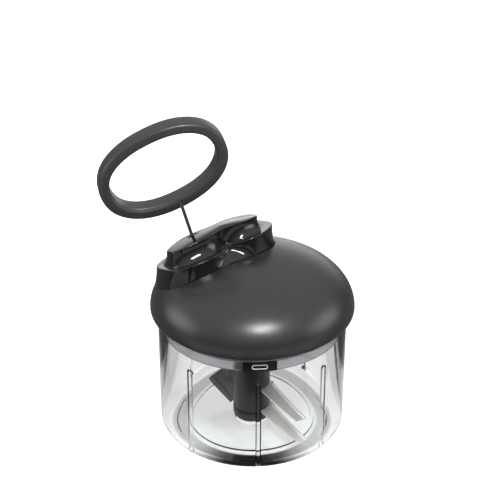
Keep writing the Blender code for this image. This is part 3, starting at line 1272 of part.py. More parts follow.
def make_blade_hub():
    """The hollow hub, with an inner tube round the pin and a hexagon on top."""
    shell_low = HUB_RADIUS - HUB_WALL
    shell_high = HUB_SHOULDER_RADIUS - HUB_WALL
    profile = [(HUB_BORE_RADIUS, HUB_BOTTOM_Z), (HUB_TUBE_RADIUS, HUB_BOTTOM_Z)]
    profile += [(HUB_TUBE_RADIUS, HUB_CAVITY_TOP_Z), (shell_high, HUB_CAVITY_TOP_Z)]
    profile += [(shell_low, HUB_BOTTOM_Z), (HUB_RADIUS, HUB_BOTTOM_Z)]
    profile += [(HUB_SHOULDER_RADIUS, HUB_SHOULDER_Z), (HUB_NECK_RADIUS, HUB_NECK_Z)]
    profile += [(HUB_NECK_RADIUS, HUB_SPLINE_Z), (0.0, HUB_SPLINE_Z), (0.0, HUB_ROOF_Z)]
    profile += [(HUB_BORE_RADIUS, HUB_ROOF_Z)]
    hub = add_piece("blade_hub", turned_mesh(profile, MEDIUM_SIDES), NYLON_BLACK)
    spline = prism_mesh(hexagon(HEX_RADIUS), HUB_SPLINE_Z - HUB_WALL, HUB_TOP_Z)
    add_boolean(hub, add_piece("hub_hexagon", spline, NYLON_BLACK), "UNION")
    add_boolean(hub, blade_slot("hub_lower_slot", LOWER_BLADE_Z, True), "DIFFERENCE")
    add_boolean(hub, blade_slot("hub_upper_slot", UPPER_BLADE_Z, False), "DIFFERENCE")
    half = 0.5 * PADDLE_THICKNESS + GAP
    low = (PADDLE_TENON_RADIUS - HUB_WALL, -half, PADDLE_TENON_LOW_Z - GAP)
    high = (PADDLE_ROOT_RADIUS, half, PADDLE_TENON_HIGH_Z + GAP)
    place = turn_about_z(PADDLE_AZIMUTH)
    add_boolean(hub, add_piece("hub_tenon_slot", box_mesh(low, high), NYLON_BLACK, place), "DIFFERENCE")


def make_hub_cap():
    """The cap that closes the hub from below and rests on the bowl's boss."""
    spigot_outer = HUB_RADIUS - HUB_WALL - GAP
    spigot_inner = spigot_outer - CAP_SPIGOT_WALL
    profile = [(CAP_BORE_RADIUS, CAP_BOTTOM_Z)]
    profile += arc(HUB_RADIUS - CAP_ROUND, CAP_BOTTOM_Z + CAP_ROUND, CAP_ROUND, -90.0, 0.0, CORNER_STEPS)
    profile += [(HUB_RADIUS, CAP_TOP_Z), (spigot_outer, CAP_TOP_Z)]
    profile += [(spigot_outer, CAP_SPIGOT_TOP_Z), (spigot_inner, CAP_SPIGOT_TOP_Z)]
    profile += [(spigot_inner, CAP_TOP_Z), (HUB_BORE_RADIUS, CAP_TOP_Z)]
    profile += [(HUB_BORE_RADIUS, CAP_PLATE_LOW_Z), (CAP_BORE_RADIUS, CAP_PLATE_LOW_Z)]
    cap = add_piece("hub_cap", turned_mesh(profile, MEDIUM_SIDES), NYLON_BLACK)
    low = CAP_TOP_Z + GAP
    outline = blade_outline(UPPER_BLADE_TIP_LENGTH, BLADE_SLOT, slot=True)
    slot = prism_mesh(outline, low, LOWER_BLADE_Z + HUB_WALL)
    cutter = add_piece("cap_slot", slot, NYLON_BLACK, turn_about_z(BLADE_AZIMUTH))
    add_boolean(cap, cutter, "DIFFERENCE")


def make_mixing_paddle():
    """The upright vane that stirs what the blades have cut."""
    tip_low = PADDLE_TIP_Z - PADDLE_TIP_HALF_HEIGHT
    tip_high = PADDLE_TIP_Z + PADDLE_TIP_HALF_HEIGHT
    section = [(PADDLE_ROOT_RADIUS, PADDLE_ROOT_LOW_Z), (PADDLE_HEEL_RADIUS, PADDLE_HEEL_Z)]
    section += [(PADDLE_TIP_RADIUS - PADDLE_TIP_HALF_HEIGHT, tip_low), (PADDLE_TIP_RADIUS, PADDLE_TIP_Z)]
    section += [(PADDLE_TIP_RADIUS - PADDLE_TIP_HALF_HEIGHT, tip_high)]
    section += [(PADDLE_SHOULDER_RADIUS, PADDLE_SHOULDER_Z), (PADDLE_ROOT_RADIUS, PADDLE_ROOT_HIGH_Z)]
    section += [(PADDLE_ROOT_RADIUS, PADDLE_TENON_HIGH_Z), (PADDLE_TENON_RADIUS, PADDLE_TENON_HIGH_Z)]
    section += [(PADDLE_TENON_RADIUS, PADDLE_TENON_LOW_Z), (PADDLE_ROOT_RADIUS, PADDLE_TENON_LOW_Z)]
    half = 0.5 * PADDLE_THICKNESS
    sides = [[Vector((r, y, z)) for r, z in section] for y in (-half, half)]
    add_piece("mixing_paddle", lofted_mesh(sides), PADDLE_GREY, turn_about_z(PADDLE_AZIMUTH))


def set_lid_on_rim(standing):
    """Lift everything but the pieces that stand on the table onto the bowl's rim."""
    rise = Matrix.Translation(UP * BOWL_HEIGHT)
    for piece in bpy.data.objects:
        if piece.name not in standing:
            piece.matrix_world = rise @ piece.matrix_world


def main():
    """Model the whole chopper."""
    clear_scene()
    make_bowl()
    make_pivot_pin()
    make_blade_hub()
    make_hub_cap()
    make_blade("lower_blade", LOWER_BLADE_Z, BLADE_TIP_LENGTH)
    make_blade("upper_blade", UPPER_BLADE_Z, UPPER_BLADE_TIP_LENGTH)
    make_mixing_paddle()
    standing = {piece.name for piece in bpy.data.objects}
    make_dome_cover()
    make_handle_rest()
    make_cord_eyelet()
    make_lid_base()
    make_lid_seal()
    make_screws()
    make_bracket()
    make_reel_axle()
    make_axle_clip()
    make_thrust_washer()
    make_output_bush()
    make_reel()
    make_reel_cover()
    make_cord_winding()
    make_recoil_spring()
    make_drive_ratchet()
    make_drive_socket()
    make_drive_screw()
    make_cords()
    make_cord_guide()
    make_pull_handle()
    make_cord_knot()
    make_knot_plug()
    set_lid_on_rim(standing)


main()
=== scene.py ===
"""The looks of a pull-cord food chopper: clear bowl, black lid, ring handle on a cord, and blade unit."""
import math

import bmesh
import bpy
from mathutils import Matrix, Vector


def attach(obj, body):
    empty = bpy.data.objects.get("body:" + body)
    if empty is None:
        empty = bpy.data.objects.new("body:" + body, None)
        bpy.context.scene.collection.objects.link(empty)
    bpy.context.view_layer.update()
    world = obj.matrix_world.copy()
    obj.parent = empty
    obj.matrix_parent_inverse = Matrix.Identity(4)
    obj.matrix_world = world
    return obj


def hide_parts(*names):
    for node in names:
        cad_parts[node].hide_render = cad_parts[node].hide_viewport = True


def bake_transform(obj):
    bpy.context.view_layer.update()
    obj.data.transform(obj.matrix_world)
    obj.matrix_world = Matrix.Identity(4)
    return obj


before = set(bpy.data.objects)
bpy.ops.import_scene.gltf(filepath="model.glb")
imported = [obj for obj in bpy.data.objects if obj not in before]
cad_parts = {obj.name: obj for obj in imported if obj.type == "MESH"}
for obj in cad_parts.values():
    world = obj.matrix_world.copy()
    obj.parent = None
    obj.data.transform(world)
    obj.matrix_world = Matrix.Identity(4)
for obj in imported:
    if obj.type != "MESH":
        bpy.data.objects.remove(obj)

bl_info = {
    "name": "Pull-Cord Food Chopper",
    "version": (1, 0, 0),
    "blender": (4, 5, 0),
    "location": "View3D > Sidebar > Chopper",
    "description": "Dresses the chopper's solids with fine surfaces, materials and a studio",
    "category": "Add Mesh",
}

# Camera, fitted to the photograph: its place, its downward tilt, its turn to the left and its lens
CAMERA_PLACE = (0.0, -0.9225, 0.6591)
CAMERA_TILT = math.radians(28.73)
CAMERA_TURN = math.radians(0.563)
CAMERA_LENS = 110.1
CAMERA_SENSOR = 36.0

# Studio. A card has a name, a place, an aim, a size and the setting that holds its brightness
WHITE = (1.0, 1.0, 1.0, 1.0)
STAGE_AIM = Vector((0.0, 0.0, 0.12))
KEY_PLACE = Vector((0.17, -0.58, 0.93))
KEY_SIZE = (0.34, 0.17)
CARDS = (
    ("card_left", (-0.95, -0.05, 0.42), STAGE_AIM, (1.1, 0.75), "side_light"),
    ("card_right", (0.95, -0.05, 0.42), STAGE_AIM, (1.1, 0.75), "side_light"),
    ("backdrop", (0.0, 1.5, 0.25), (0.0, 0.0, 0.25), (3.0, 1.1), "back_light"),
)
CARD_FADE_START = 0.05
CARD_FADE_END = 0.5
SKY_TOP = 0.85
CLIP_END = 20.0
FLOOR_SIZE = (6.0, 6.0)

# How bright gloss and clear plastic see the floor: painted shade and painted dark reflections that the camera
# doesn't see. A step has a result, an operation and two inputs, and a ramp eases its source over (from, to)
# into (low, high). The areas: the floor beside the bowl and the dark strip ahead of it, both painted dark
# reflections, and the dark ring under its rim, painted shade which is darkest at the front
PAINTED_FLOOR_SHADE = (
    ("aside", "ABSOLUTE", "x", 0.0),
    ("depth", "SUBTRACT", "y", CAMERA_PLACE[1]),
    ("slant", "DIVIDE", "aside", "depth"),
    # Painted dark reflection: the floor beside the bowl, darkened for gloss and clear plastic
    ("beside_near", "RAMP", "slant", (0.0700, 0.0740, 1.0, 0.62)),
    ("beside_far", "RAMP", "slant", (0.085, 0.140, 1.0, 0.30)),
    ("beside", "MULTIPLY", "beside_near", "beside_far"),
    ("foreground", "RAMP", "y", (-0.170, -0.090, 1.0, 0.0)),
    ("beside", "MAXIMUM", "beside", "foreground"),
    # Painted dark reflection: the strip of floor ahead of the bowl
    ("ahead_back", "RAMP", "y", (-0.084, -0.070, 0.93, 0.0)),
    ("ahead_front", "RAMP", "y", (-0.36, -0.24, 0.0, 1.0)),
    ("ahead_ends", "RAMP", "aside", (0.10, 0.20, 1.0, 0.0)),
    ("ahead", "MULTIPLY", "ahead_back", "ahead_front"),
    ("ahead", "MULTIPLY", "ahead", "ahead_ends"),
    # Painted shade: a dark ring on the floor under the bowl's rim, darkest at the front
    ("rim_inner", "RAMP", "radius", (0.0470, 0.0500, 0.0, 1.0)),
    ("rim_outer", "RAMP", "radius", (0.0575, 0.0600, 1.0, 0.0)),
    ("rim_front", "RAMP", "y", (-0.058, -0.046, 1.0, 0.0)),
    ("rim_outer", "MAXIMUM", "rim_outer", "rim_front"),
    ("rim", "MULTIPLY", "rim_inner", "rim_outer"),
    ("front_depth", "RAMP", "y", (-0.046, -0.020, 0.57, 0.0)),
    ("front_width", "RAMP", "aside", (0.018, 0.048, 1.0, 0.0)),
    ("rim_shade", "MULTIPLY", "front_depth", "front_width"),
    ("rim_shade", "ADD", "rim_shade", 0.42),
    ("under", "MULTIPLY", "rim", "rim_shade"),
    ("ahead", "SUBTRACT", 1.0, "ahead"),
    ("under", "SUBTRACT", 1.0, "under"),
    ("painted_shade", "MULTIPLY", "beside", "ahead"),
    ("painted_shade", "MULTIPLY", "painted_shade", "under"),
    ("seen", "MAXIMUM", "glossy", "transmission"),
    # Painted shade: for gloss and clear plastic the card's colour is scaled down by it
    ("body", "MULTIPLY", "painted_shade", 0.32),
    ("body", "RAMP", "seen", (0.0, 1.0, 1.0, "body")),
    # A painted glow for gloss and clear plastic, shaped by the painted shade
    ("painted_seen_glow", "MULTIPLY", "painted_shade", "seen"),
    ("painted_seen_glow", "MULTIPLY", "painted_seen_glow", 0.70),
    ("near_lift", "MULTIPLY", "camera", "lift"),
    ("lift", "ADD", "painted_seen_glow", "near_lift"),
)

# Bowl. A section's corners are (radius, height, rounding)
BOWL_DRAFT = 0.0005
BOWL_UNDERSIDE = ((0.0120, 0.0, 0.0), (0.0130, 0.0008, 0.0), (0.0550, 0.0008, 0.0), (0.0560, 0.0, 0.0),
                  (0.0612, 0.0, 0.0040))
BOWL_HEEL_Z = 0.0006
BOWL_HEEL_ROUNDING = 0.0078
BOWL_RIM_ROUNDING = 0.0007
BOWL_FLOOR_ROUNDING = 0.0050
FLOOR_RING_INNER = 0.0445
FLOOR_RING_OUTER = 0.0465
FLOOR_RING_HEIGHT = 0.0012
BOSS_RADIUS = 0.0065
BOSS_HEIGHT = 0.0075
PIN_HOLE_RADIUS = 0.0028
PIN_HOLE_Z = 0.0033
SMALL_GAP = 0.0001
HOLE_COLUMNS = 32
WALL_MARGIN = 0.0010
WALL_LEAST_RUN = 0.0100
WALL_STEP = 0.0008
RIB_OFFSETS = [0.00025 * k for k in range(-12, 13)]
RIB_SIDE_MARGIN = 0.0002
RIB_SIDE_RUN = 0.0007
RIB_TOP_SLOPE = 0.8
RIB_TOP_RUN = 0.0016
COLUMNS_BETWEEN_RIBS = 10

# Mark on the bowl, as rings of (share of its size, rise over the wall)
MARK_AZIMUTH = math.radians(-85.5)
MARK_HALF_LENGTH = 0.00565
MARK_HALF_HEIGHT = 0.0018
MARK_Z = 0.0905
MARK_COLUMNS = 48
MARK_RINGS = ((1.0, -0.0002), (1.0, 0.0002), (0.95, 0.0004), (0.77, 0.0004), (0.72, 0.0002), (0.72, -0.0002))

# Lid dome. Its rim is a row of (inset, height)
DOME_RADIUS = 0.0750
DOME_BASE_Z = 0.1007
DOME_RISE = 0.0380
DOME_EXPONENT = 2.4
DOME_WALL = 0.0022
DOME_RIM = ((0.0001, 0.1002), (0.0003, 0.0996), (0.0007, 0.0992), (0.0012, 0.0991), (0.0019, 0.0991),
            (DOME_WALL, 0.0994))
DOME_OUTER_STEPS = 64
DOME_INNER_STEPS = 24
OPENING_GAP = 0.0003
OPENING_EDGE = 0.0004
OPENING_EDGE_SHARE = 0.02
OPENING_EDGE_STEPS = 3

# Lid base, its tab and its seal
LID_BASE_SECTION = (
    (0.0083, 0.0945, 0.0), (0.0120, 0.0945, 0.0004), (0.0120, 0.0973, 0.0006), (0.0640, 0.0973, 0.0006),
    (0.0640, 0.0854, 0.0005), (0.0666, 0.0854, 0.0008), (0.0666, 0.0932, 0.0002), (0.0653, 0.0932, 0.0002),
    (0.0653, 0.0952, 0.0002), (0.0666, 0.0952, 0.0002), (0.0666, 0.0973, 0.0003), (0.0723, 0.0973, 0.0004),
    (0.0723, 0.0992, 0.0004), (0.0083, 0.0992, 0.0),
)
SEAL_SECTION = ((0.0656, 0.0935, 0.0002), (0.0670, 0.0935, 0.0005), (0.0670, 0.0949, 0.0005),
                (0.0656, 0.0949, 0.0002))
LID_COLUMNS = 240
TAB_SECTION = ((0.0641, 0.0853, 0.0003), (0.06675, 0.0853, 0.0003), (0.06675, 0.0931, 0.0003),
               (0.0641, 0.0931, 0.0003))
TAB_START = math.radians(-95.5)
TAB_END = math.radians(-75.0)
TAB_STEPS = 40

# Handle rest
REST_INSET = 0.0433
REST_AZIMUTH = math.radians(150.93)
REST_CENTRE = (DOME_RADIUS - REST_INSET) * Vector((math.cos(REST_AZIMUTH), math.sin(REST_AZIMUTH), 0.0))
REST_TURN = math.radians(34.5)
REST_EXPONENT = 2.8
REST_COLUMNS = 320
REST_WAIST_LENGTH = 0.0110
REST_WAIST_PLACE = 0.0015
REST_WALL_POWER = 2.4
REST_LEDGE_Z = 0.1411
REST_SLOPE = Vector((0.328, -0.206, 0.0))
REST_TUCK = 0.0050
REST_WALL = 0.0020
REST_EDGE = 0.0008
ISLAND_PLACE = -0.0019
# Plans of the rest's levels, as (half length, half width, waist, middle)
REST_BASE = (0.0470, 0.0262, 0.0010, 0.0)
REST_LEDGE = (0.0446, 0.0258, 0.0102, 0.0)
ISLAND_FOOT = (0.0380, 0.0188, 0.0080, ISLAND_PLACE)
ISLAND_TOP = (0.0370, 0.0125, 0.0032, ISLAND_PLACE)
ISLAND_WALL_POWER = 2.2
ISLAND_HEIGHT = 0.0142
ISLAND_ARCH = 0.0046
ISLAND_ARCH_PLACE = -0.0075
ISLAND_ARCH_LENGTH = 0.0420
ISLAND_EDGE = 0.0010
ISLAND_CROWN = 0.0012
REST_NORMAL = Vector((-REST_SLOPE.x, -REST_SLOPE.y, 1.0)).normalized()
REST_WALL_STEPS = 18
REST_EDGE_STEPS = 5
LEDGE_LEVELS = ((0.0016, 0.0), (0.0011, 0.0002), (0.0006, 0.0004), (0.0002, 0.0003))
ISLAND_WALL_STEPS = 24
ISLAND_EDGE_STEPS = 6
CROWN_SHARES = (0.97, 0.93, 0.87, 0.80, 0.70, 0.58, 0.45, 0.30, 0.15)
EYELET_CUT = 0.0060

# Cord
CORD_RADIUS = 0.00125
CORD_COLUMNS = 24
CORD_HOLE_U = -0.0169
CORD_HOLE_V = 0.0039
CORD_OUT_LENGTH = 0.0259
CORD_WOUND_RADIUS = 0.01955
CORD_LEVEL_Z = 0.11145
CORD_BEND_RADIUS = 0.0052
EYELET_HOLE_RADIUS = 0.00295
CORD_LEAD_DEPTH = 0.0060
CORD_LEAD_STEPS = 8
CORD_BEND_STEPS = 12
CORD_LEVEL_STEPS = 6
CORD_OUT_STEPS = 24
CORD_TIP_SHRINK = 0.6

# Ring handle
RING_HALF_LENGTH = 0.0486
RING_HALF_HEIGHT = 0.0331
RING_EXPONENT = 2.2
RING_BAR_WIDTH = 0.0082
RING_BAR_DEPTH = 0.0145
RING_YAW = math.radians(10.0)
RING_ROLL = math.radians(25.1)
RING_PITCH = math.radians(-4.2)
CORD_SEAT_WIDTH = 0.0060
CORD_SEAT_BACK_WIDTH = 0.0042
CORD_SEAT_FRONT = 0.0087
CORD_BORE_RADIUS = 0.00155
KNOT_POCKET_RADIUS = 0.0026
KNOT_POCKET_DEPTH = 0.0061
RING_COLUMNS = 256
# Section of the bar: (share of its width from the outer edge, share of its half depth to the front, rounding)
BAR_CORNERS = (
    (0.00, 1.00, 0.33), (0.78, 1.00, 0.07), (0.88, 0.94, 0.05), (0.90, 0.68, 0.05), (1.00, 0.56, 0.07),
    (1.00, -1.00, 0.16), (0.00, -1.00, 0.33),
)

# Blade unit
HUB_SECTION = (
    (0.0029, 0.0129, 0.0), (0.0050, 0.0129, 0.0), (0.0050, 0.0560, 0.0), (0.0114, 0.0560, 0.0),
    (0.0121, 0.0129, 0.0), (0.0143, 0.0129, 0.0004), (0.0136, 0.0600, 0.0030), (0.0085, 0.0660, 0.0020),
    (0.0085, 0.0800, 0.0006), (0.0001, 0.0800, 0.0), (0.0001, 0.0606, 0.0), (0.0029, 0.0606, 0.0),
)
HUB_CAP_SECTION = (
    (0.0072, 0.0045, 0.0004), (0.0143, 0.0045, 0.0026), (0.0143, 0.0124, 0.0005), (0.0117, 0.0126, 0.0),
    (0.0117, 0.0149, 0.0), (0.0100, 0.0149, 0.0), (0.0100, 0.0126, 0.0), (0.0029, 0.0126, 0.0),
    (0.0029, 0.0108, 0.0), (0.0072, 0.0108, 0.0),
)
HUB_COLUMNS = 128
HEXAGON_RADIUS = 0.0068
HEXAGON_LOW_Z = 0.0778
HEXAGON_HIGH_Z = 0.0866
# Blades: name, height, length and the solid that each stands for
BLADES = (("blade_low", 0.0131, 0.0605, "lower_blade"), ("blade_high", 0.0305, 0.0590, "upper_blade"))
BLADE_AZIMUTH = math.radians(-61.0)
BLADE_EDGE_OFFSET = 0.0128
BLADE_ROOT_LENGTH = 0.0097
BLADE_ROOT_BACK = -0.0009
BLADE_TIP_LENGTH = 0.0605
BLADE_TIP_BACK = 0.0046
BLADE_TIP_DROP = 0.0016
BLADE_TIP_ROUNDING = 0.0012
BLADE_TIP_STEPS = 4
BLADE_THICKNESS = 0.0010
BLADE_EYE_RADIUS = 0.0090
BLADE_EYE_STEPS = 24
BLADE_HOLE_RADIUS = 0.0053
BEVEL_WIDTH = 0.0030
BEVEL_DEPTH = 0.0012
BEVEL_START = 0.0035
CUT_MARGIN = 0.0010
PADDLE_AZIMUTH = math.radians(150.0)
PADDLE_HEEL = ((0.0143, 0.0115, 0.0), (0.0180, 0.0060, 0.0012), (0.0365, 0.0165, 0.0012))
PADDLE_FACE = (*PADDLE_HEEL, (0.0390, 0.0190, 0.0010), (0.0365, 0.0215, 0.0012), (0.0255, 0.0320, 0.0030),
               (0.0143, 0.0315, 0.0))
PADDLE_LIP = (*PADDLE_HEEL, (0.0390, 0.0190, 0.0008), (0.0358, 0.0214, 0.0008), (0.0180, 0.0113, 0.0010),
              (0.0143, 0.0160, 0.0))
PADDLE_FACE_HALF_WIDTH = 0.0009
PADDLE_LIP_HALF_WIDTH = 0.0015

# Plastics: material, colour, roughness and its spread, grain in metres and strength of the mould texture
PLASTICS = {
    "dome": ("satin_abs_spark_eroded", "#222223", 0.30, 0.03, 0.00035, 0.10),
    "rest": ("gloss_abs_polished", "#121213", 0.06, 0.02, 0.0060, 0.02),
    "handle": ("satin_polypropylene_moulded", "#2B2C2A", 0.36, 0.04, 0.00045, 0.12),
    "black": ("black_acetal_moulded", "#111213", 0.38, 0.04, 0.0005, 0.10),
    "paddle": ("grey_acetal_moulded", "#4C4D4F", 0.30, 0.04, 0.0005, 0.10),
    "natural": ("natural_acetal_moulded", "#E2DFD4", 0.40, 0.05, 0.0005, 0.10),
    "mark": ("san_frosted_by_the_tool", "#DADCDE", 0.45, 0.05, 0.0004, 0.10),
    "seal": ("grey_silicone_moulded", "#A6A7AA", 0.55, 0.04, 0.0006, 0.10),
}
PLASTIC_IOR = 1.53
PLASTIC_DRIFT = 0.012
MOULD_DEPTH = 0.00005

# Metals: material, colour, roughness, grain in metres, stretch of the marks and their strength
METALS = {
    "blade": ("stainless_steel_ground", "#F2F1EC", 0.56, 0.0008, (1.0, 1.0, 1.0), 0.15),
    "pin": ("stainless_steel_turned", "#C6C7C8", 0.18, 0.0005, (0.2, 0.2, 3.0), 0.10),
    "spring": ("spring_steel_rolled", "#8B8E94", 0.28, 0.0008, (1.0, 1.0, 4.0), 0.10),
    "zinc": ("zinc_plated_steel_cold_headed", "#BFC1C4", 0.30, 0.0006, (1.0, 1.0, 1.0), 0.15),
}
METAL_SPREAD = 0.25
METAL_DEPTH = 0.00002

# Clear and frosted plastic, and the cord's braid
CLEAR_FLOW = 0.022
FROST_GRAIN = 0.0006
FROST_DEPTH = 0.00004
FROST_CLOUD = 0.015
BRAID_PITCH = 0.0022
BRAID_TURN = 0.6
BRAID_DEPTH = 0.00015


def linear(hex_colour):
    """Linear red, green and blue of an sRGB hex value."""
    channels = [int(hex_colour[i:i + 2], 16) / 255.0 for i in (1, 3, 5)]
    return tuple(c / 12.92 if c <= 0.04045 else ((c + 0.055) / 1.055) ** 2.4 for c in channels)


def rgba(hex_colour):
    """Linear colour with full alpha."""
    return (*linear(hex_colour), 1.0)


# Materials


def add_node(tree, kind, sockets=None, **settings):
    """Add a node. Each socket takes a value, another socket, or a node for that node's first output."""
    node = tree.nodes.new(kind)
    for name, value in settings.items():
        setattr(node, name, value)
    for name, value in (sockets or {}).items():
        if isinstance(value, bpy.types.Node):
            value = value.outputs[0]
        if isinstance(value, bpy.types.NodeSocket):
            tree.links.new(value, node.inputs[name])
        else:
            node.inputs[name].default_value = value
    return node


def work_out(tree, steps, known):
    """Add the nodes of a table of steps. Names in it stand for what is known and for earlier results."""
    for name, operation, first, second in steps:
        if operation == "RAMP":
            sockets = {"Value": known[first]}
            for socket, value in zip(("From Min", "From Max", "To Min", "To Max"), second):
                sockets[socket] = known.get(value, value)
            known[name] = add_node(tree, "ShaderNodeMapRange", sockets, interpolation_type="SMOOTHSTEP")
        else:
            sockets = {0: known.get(first, first), 1: known.get(second, second)}
            known[name] = add_node(tree, "ShaderNodeMath", sockets, operation=operation)
    return known


def new_material(name):
    """An empty node material, its tree and the place on the object."""
    made = bpy.data.materials.new(name)
    made.use_nodes = True
    tree = made.node_tree
    tree.nodes.clear()
    return made, tree, add_node(tree, "ShaderNodeTexCoord").outputs["Object"]


def finish_material(tree, surface):
    """Link a surface to the material's output."""
    add_node(tree, "ShaderNodeOutputMaterial", {"Surface": surface})


def moulded_texture(tree, place, grain, strength, depth):
    """A fine pebbled mould texture with a given grain in metres, as a bump."""
    noise = add_node(tree, "ShaderNodeTexNoise",
                     {"Vector": place, "Scale": 1.0 / grain, "Detail": 3.0, "Roughness": 0.55})
    return add_node(tree, "ShaderNodeBump", {"Strength": strength, "Distance": depth, "Height": noise})


def plastic_material(name, hex_colour, roughness, spread, grain, strength):
    """Moulded opaque plastic: one body colour, a gloss that drifts a little and a fine mould texture."""
    made, tree, place = new_material(name)
    drift = add_node(tree, "ShaderNodeTexNoise",
                     {"Vector": place, "Scale": 1.0 / PLASTIC_DRIFT, "Detail": 2.0})
    gloss = add_node(tree, "ShaderNodeMapRange", {
        "Value": drift, "From Min": 0.3, "From Max": 0.7,
        "To Min": roughness - spread, "To Max": roughness + spread,
    })
    finish_material(tree, add_node(tree, "ShaderNodeBsdfPrincipled", {
        "Base Color": rgba(hex_colour), "IOR": PLASTIC_IOR, "Roughness": gloss,
        "Normal": moulded_texture(tree, place, grain, strength, MOULD_DEPTH),
    }))
    return made


def metal_material(name, hex_colour, roughness, grain, stretch, strength):
    """Ground or drawn metal: bare colour with fine marks, which may run along one direction."""
    made, tree, place = new_material(name)
    stretched = add_node(tree, "ShaderNodeMapping", {"Vector": place, "Scale": stretch})
    noise = add_node(tree, "ShaderNodeTexNoise", {"Vector": stretched, "Scale": 1.0 / grain, "Detail": 4.0})
    rough = add_node(tree, "ShaderNodeMapRange", {
        "Value": noise,
        "To Min": roughness * (1.0 - METAL_SPREAD), "To Max": roughness * (1.0 + METAL_SPREAD),
    })
    bump = add_node(tree, "ShaderNodeBump", {"Strength": strength, "Distance": METAL_DEPTH, "Height": noise})
    finish_material(tree, add_node(tree, "ShaderNodeBsdfPrincipled", {
        "Base Color": rgba(hex_colour), "Metallic": 1.0, "Roughness": rough, "Normal": bump,
    }))
    return made


def clear_bowl_material():
    """Clear SAN, injection moulded in a polished tool: glassy, with faint flow marks and a light shadow."""
    made, tree, place = new_material("clear_san_polished")
    flow = add_node(tree, "ShaderNodeTexNoise", {"Vector": place, "Scale": 1.0 / CLEAR_FLOW, "Detail": 2.0})
    gloss = add_node(tree, "ShaderNodeMapRange", {"Value": flow, "To Min": 0.0, "To Max": 0.03})
    shader = add_node(tree, "ShaderNodeBsdfPrincipled", {
        "Base Color": rgba("#FDFDFD"), "IOR": 1.57, "Transmission Weight": 1.0, "Roughness": gloss,
    })
    shadow = add_node(tree, "ShaderNodeBsdfTransparent", {"Color": rgba("#EEF2F3")})
    path = add_node(tree, "ShaderNodeLightPath")
    finish_material(tree, add_node(tree, "ShaderNodeMixShader", {
        "Fac": path.outputs["Is Shadow Ray"], 1: shader, 2: shadow,
    }))
    return made


def smoke_material():
    """Frosted polypropylene of the lid base: milky grey, lets light through."""
    made, tree, place = new_material("frosted_polypropylene")
    cloud = add_node(tree, "ShaderNodeTexNoise", {"Vector": place, "Scale": 1.0 / FROST_CLOUD})
    rough = add_node(tree, "ShaderNodeMapRange", {"Value": cloud, "To Min": 0.08, "To Max": 0.16})
    finish_material(tree, add_node(tree, "ShaderNodeBsdfPrincipled", {
        "Base Color": rgba("#C2C4C8"), "IOR": 1.49, "Transmission Weight": 0.85, "Roughness": rough,
        "Normal": moulded_texture(tree, place, FROST_GRAIN, 0.15, FROST_DEPTH),
    }))
    return made


def cord_material():
    """Braided black polyester cord: two sets of strands that cross."""
    made, tree, place = new_material("braided_polyester")
    waves = []
    for turn in (BRAID_TURN, -BRAID_TURN):
        side = add_node(tree, "ShaderNodeMapping", {"Vector": place, "Rotation": (turn, turn, 0.0)})
        wave = add_node(tree, "ShaderNodeTexWave",
                        {"Vector": side, "Scale": 1.0 / BRAID_PITCH, "Distortion": 0.5}, bands_direction="Z")
        waves.append(wave.outputs["Fac"])
    weave = add_node(tree, "ShaderNodeMath", dict(enumerate(waves)), operation="MAXIMUM")
    bump = add_node(tree, "ShaderNodeBump", {"Strength": 0.6, "Distance": BRAID_DEPTH, "Height": weave})
    finish_material(tree, add_node(tree, "ShaderNodeBsdfPrincipled", {
        "Base Color": rgba("#161616"), "Roughness": 0.75, "Sheen Weight": 0.3, "Normal": bump,
    }))
    return made


def make_materials():
    """Every finish, by a short name."""
    made = {"clear": clear_bowl_material(), "smoke": smoke_material(), "cord": cord_material()}
    made.update((name, plastic_material(*look)) for name, look in PLASTICS.items())
    made.update((name, metal_material(*look)) for name, look in METALS.items())
    return made


MATERIALS = {}


# Shapes


def add_to_scene(name, data):
    """A new object in the scene, from a mesh, a light or a camera."""
    made = bpy.data.objects.new(name, data)
    bpy.context.scene.collection.objects.link(made)
    return made


def add_object(name, bm, finish, sharp=math.radians(30.0)):
    """Make an object from a bmesh, smooth apart from its sharp edges."""
    bmesh.ops.recalc_face_normals(bm, faces=bm.faces)
    mesh = bpy.data.meshes.new(name)
    bm.to_mesh(mesh)
    bm.free()
    mesh.shade_smooth()
    mesh.set_sharp_from_angle(angle=sharp)
    mesh.materials.append(MATERIALS[finish])
    return add_to_scene(name, mesh)


def polar(radius, angle, z):
    """Point at a distance and an azimuth from the vertical axis, and a height."""
    return Vector((radius * math.cos(angle), radius * math.sin(angle), z))


def skin(rings, closed=False, start_tip=None, end_tip=None):
    """A skin over a row of rings with as many points each. Tips close its ends with a fan."""
    bm = bmesh.new()
    rows = [[bm.verts.new(point) for point in ring] for ring in rings]
    for lower, upper in zip(rows, rows[1:] + rows[:1] if closed else rows[1:]):
        for face in zip(lower, lower[1:] + lower[:1], upper[1:] + upper[:1], upper):
            bm.faces.new(face)
    for row, tip in () if closed else ((rows[0], start_tip), (rows[-1], end_tip)):
        if tip is None:
            bm.faces.new(row)
            continue
        centre = bm.verts.new(tip)
        for edge in zip(row, row[1:] + row[:1]):
            bm.faces.new((*edge, centre))
    bmesh.ops.recalc_face_normals(bm, faces=bm.faces)
    return bm


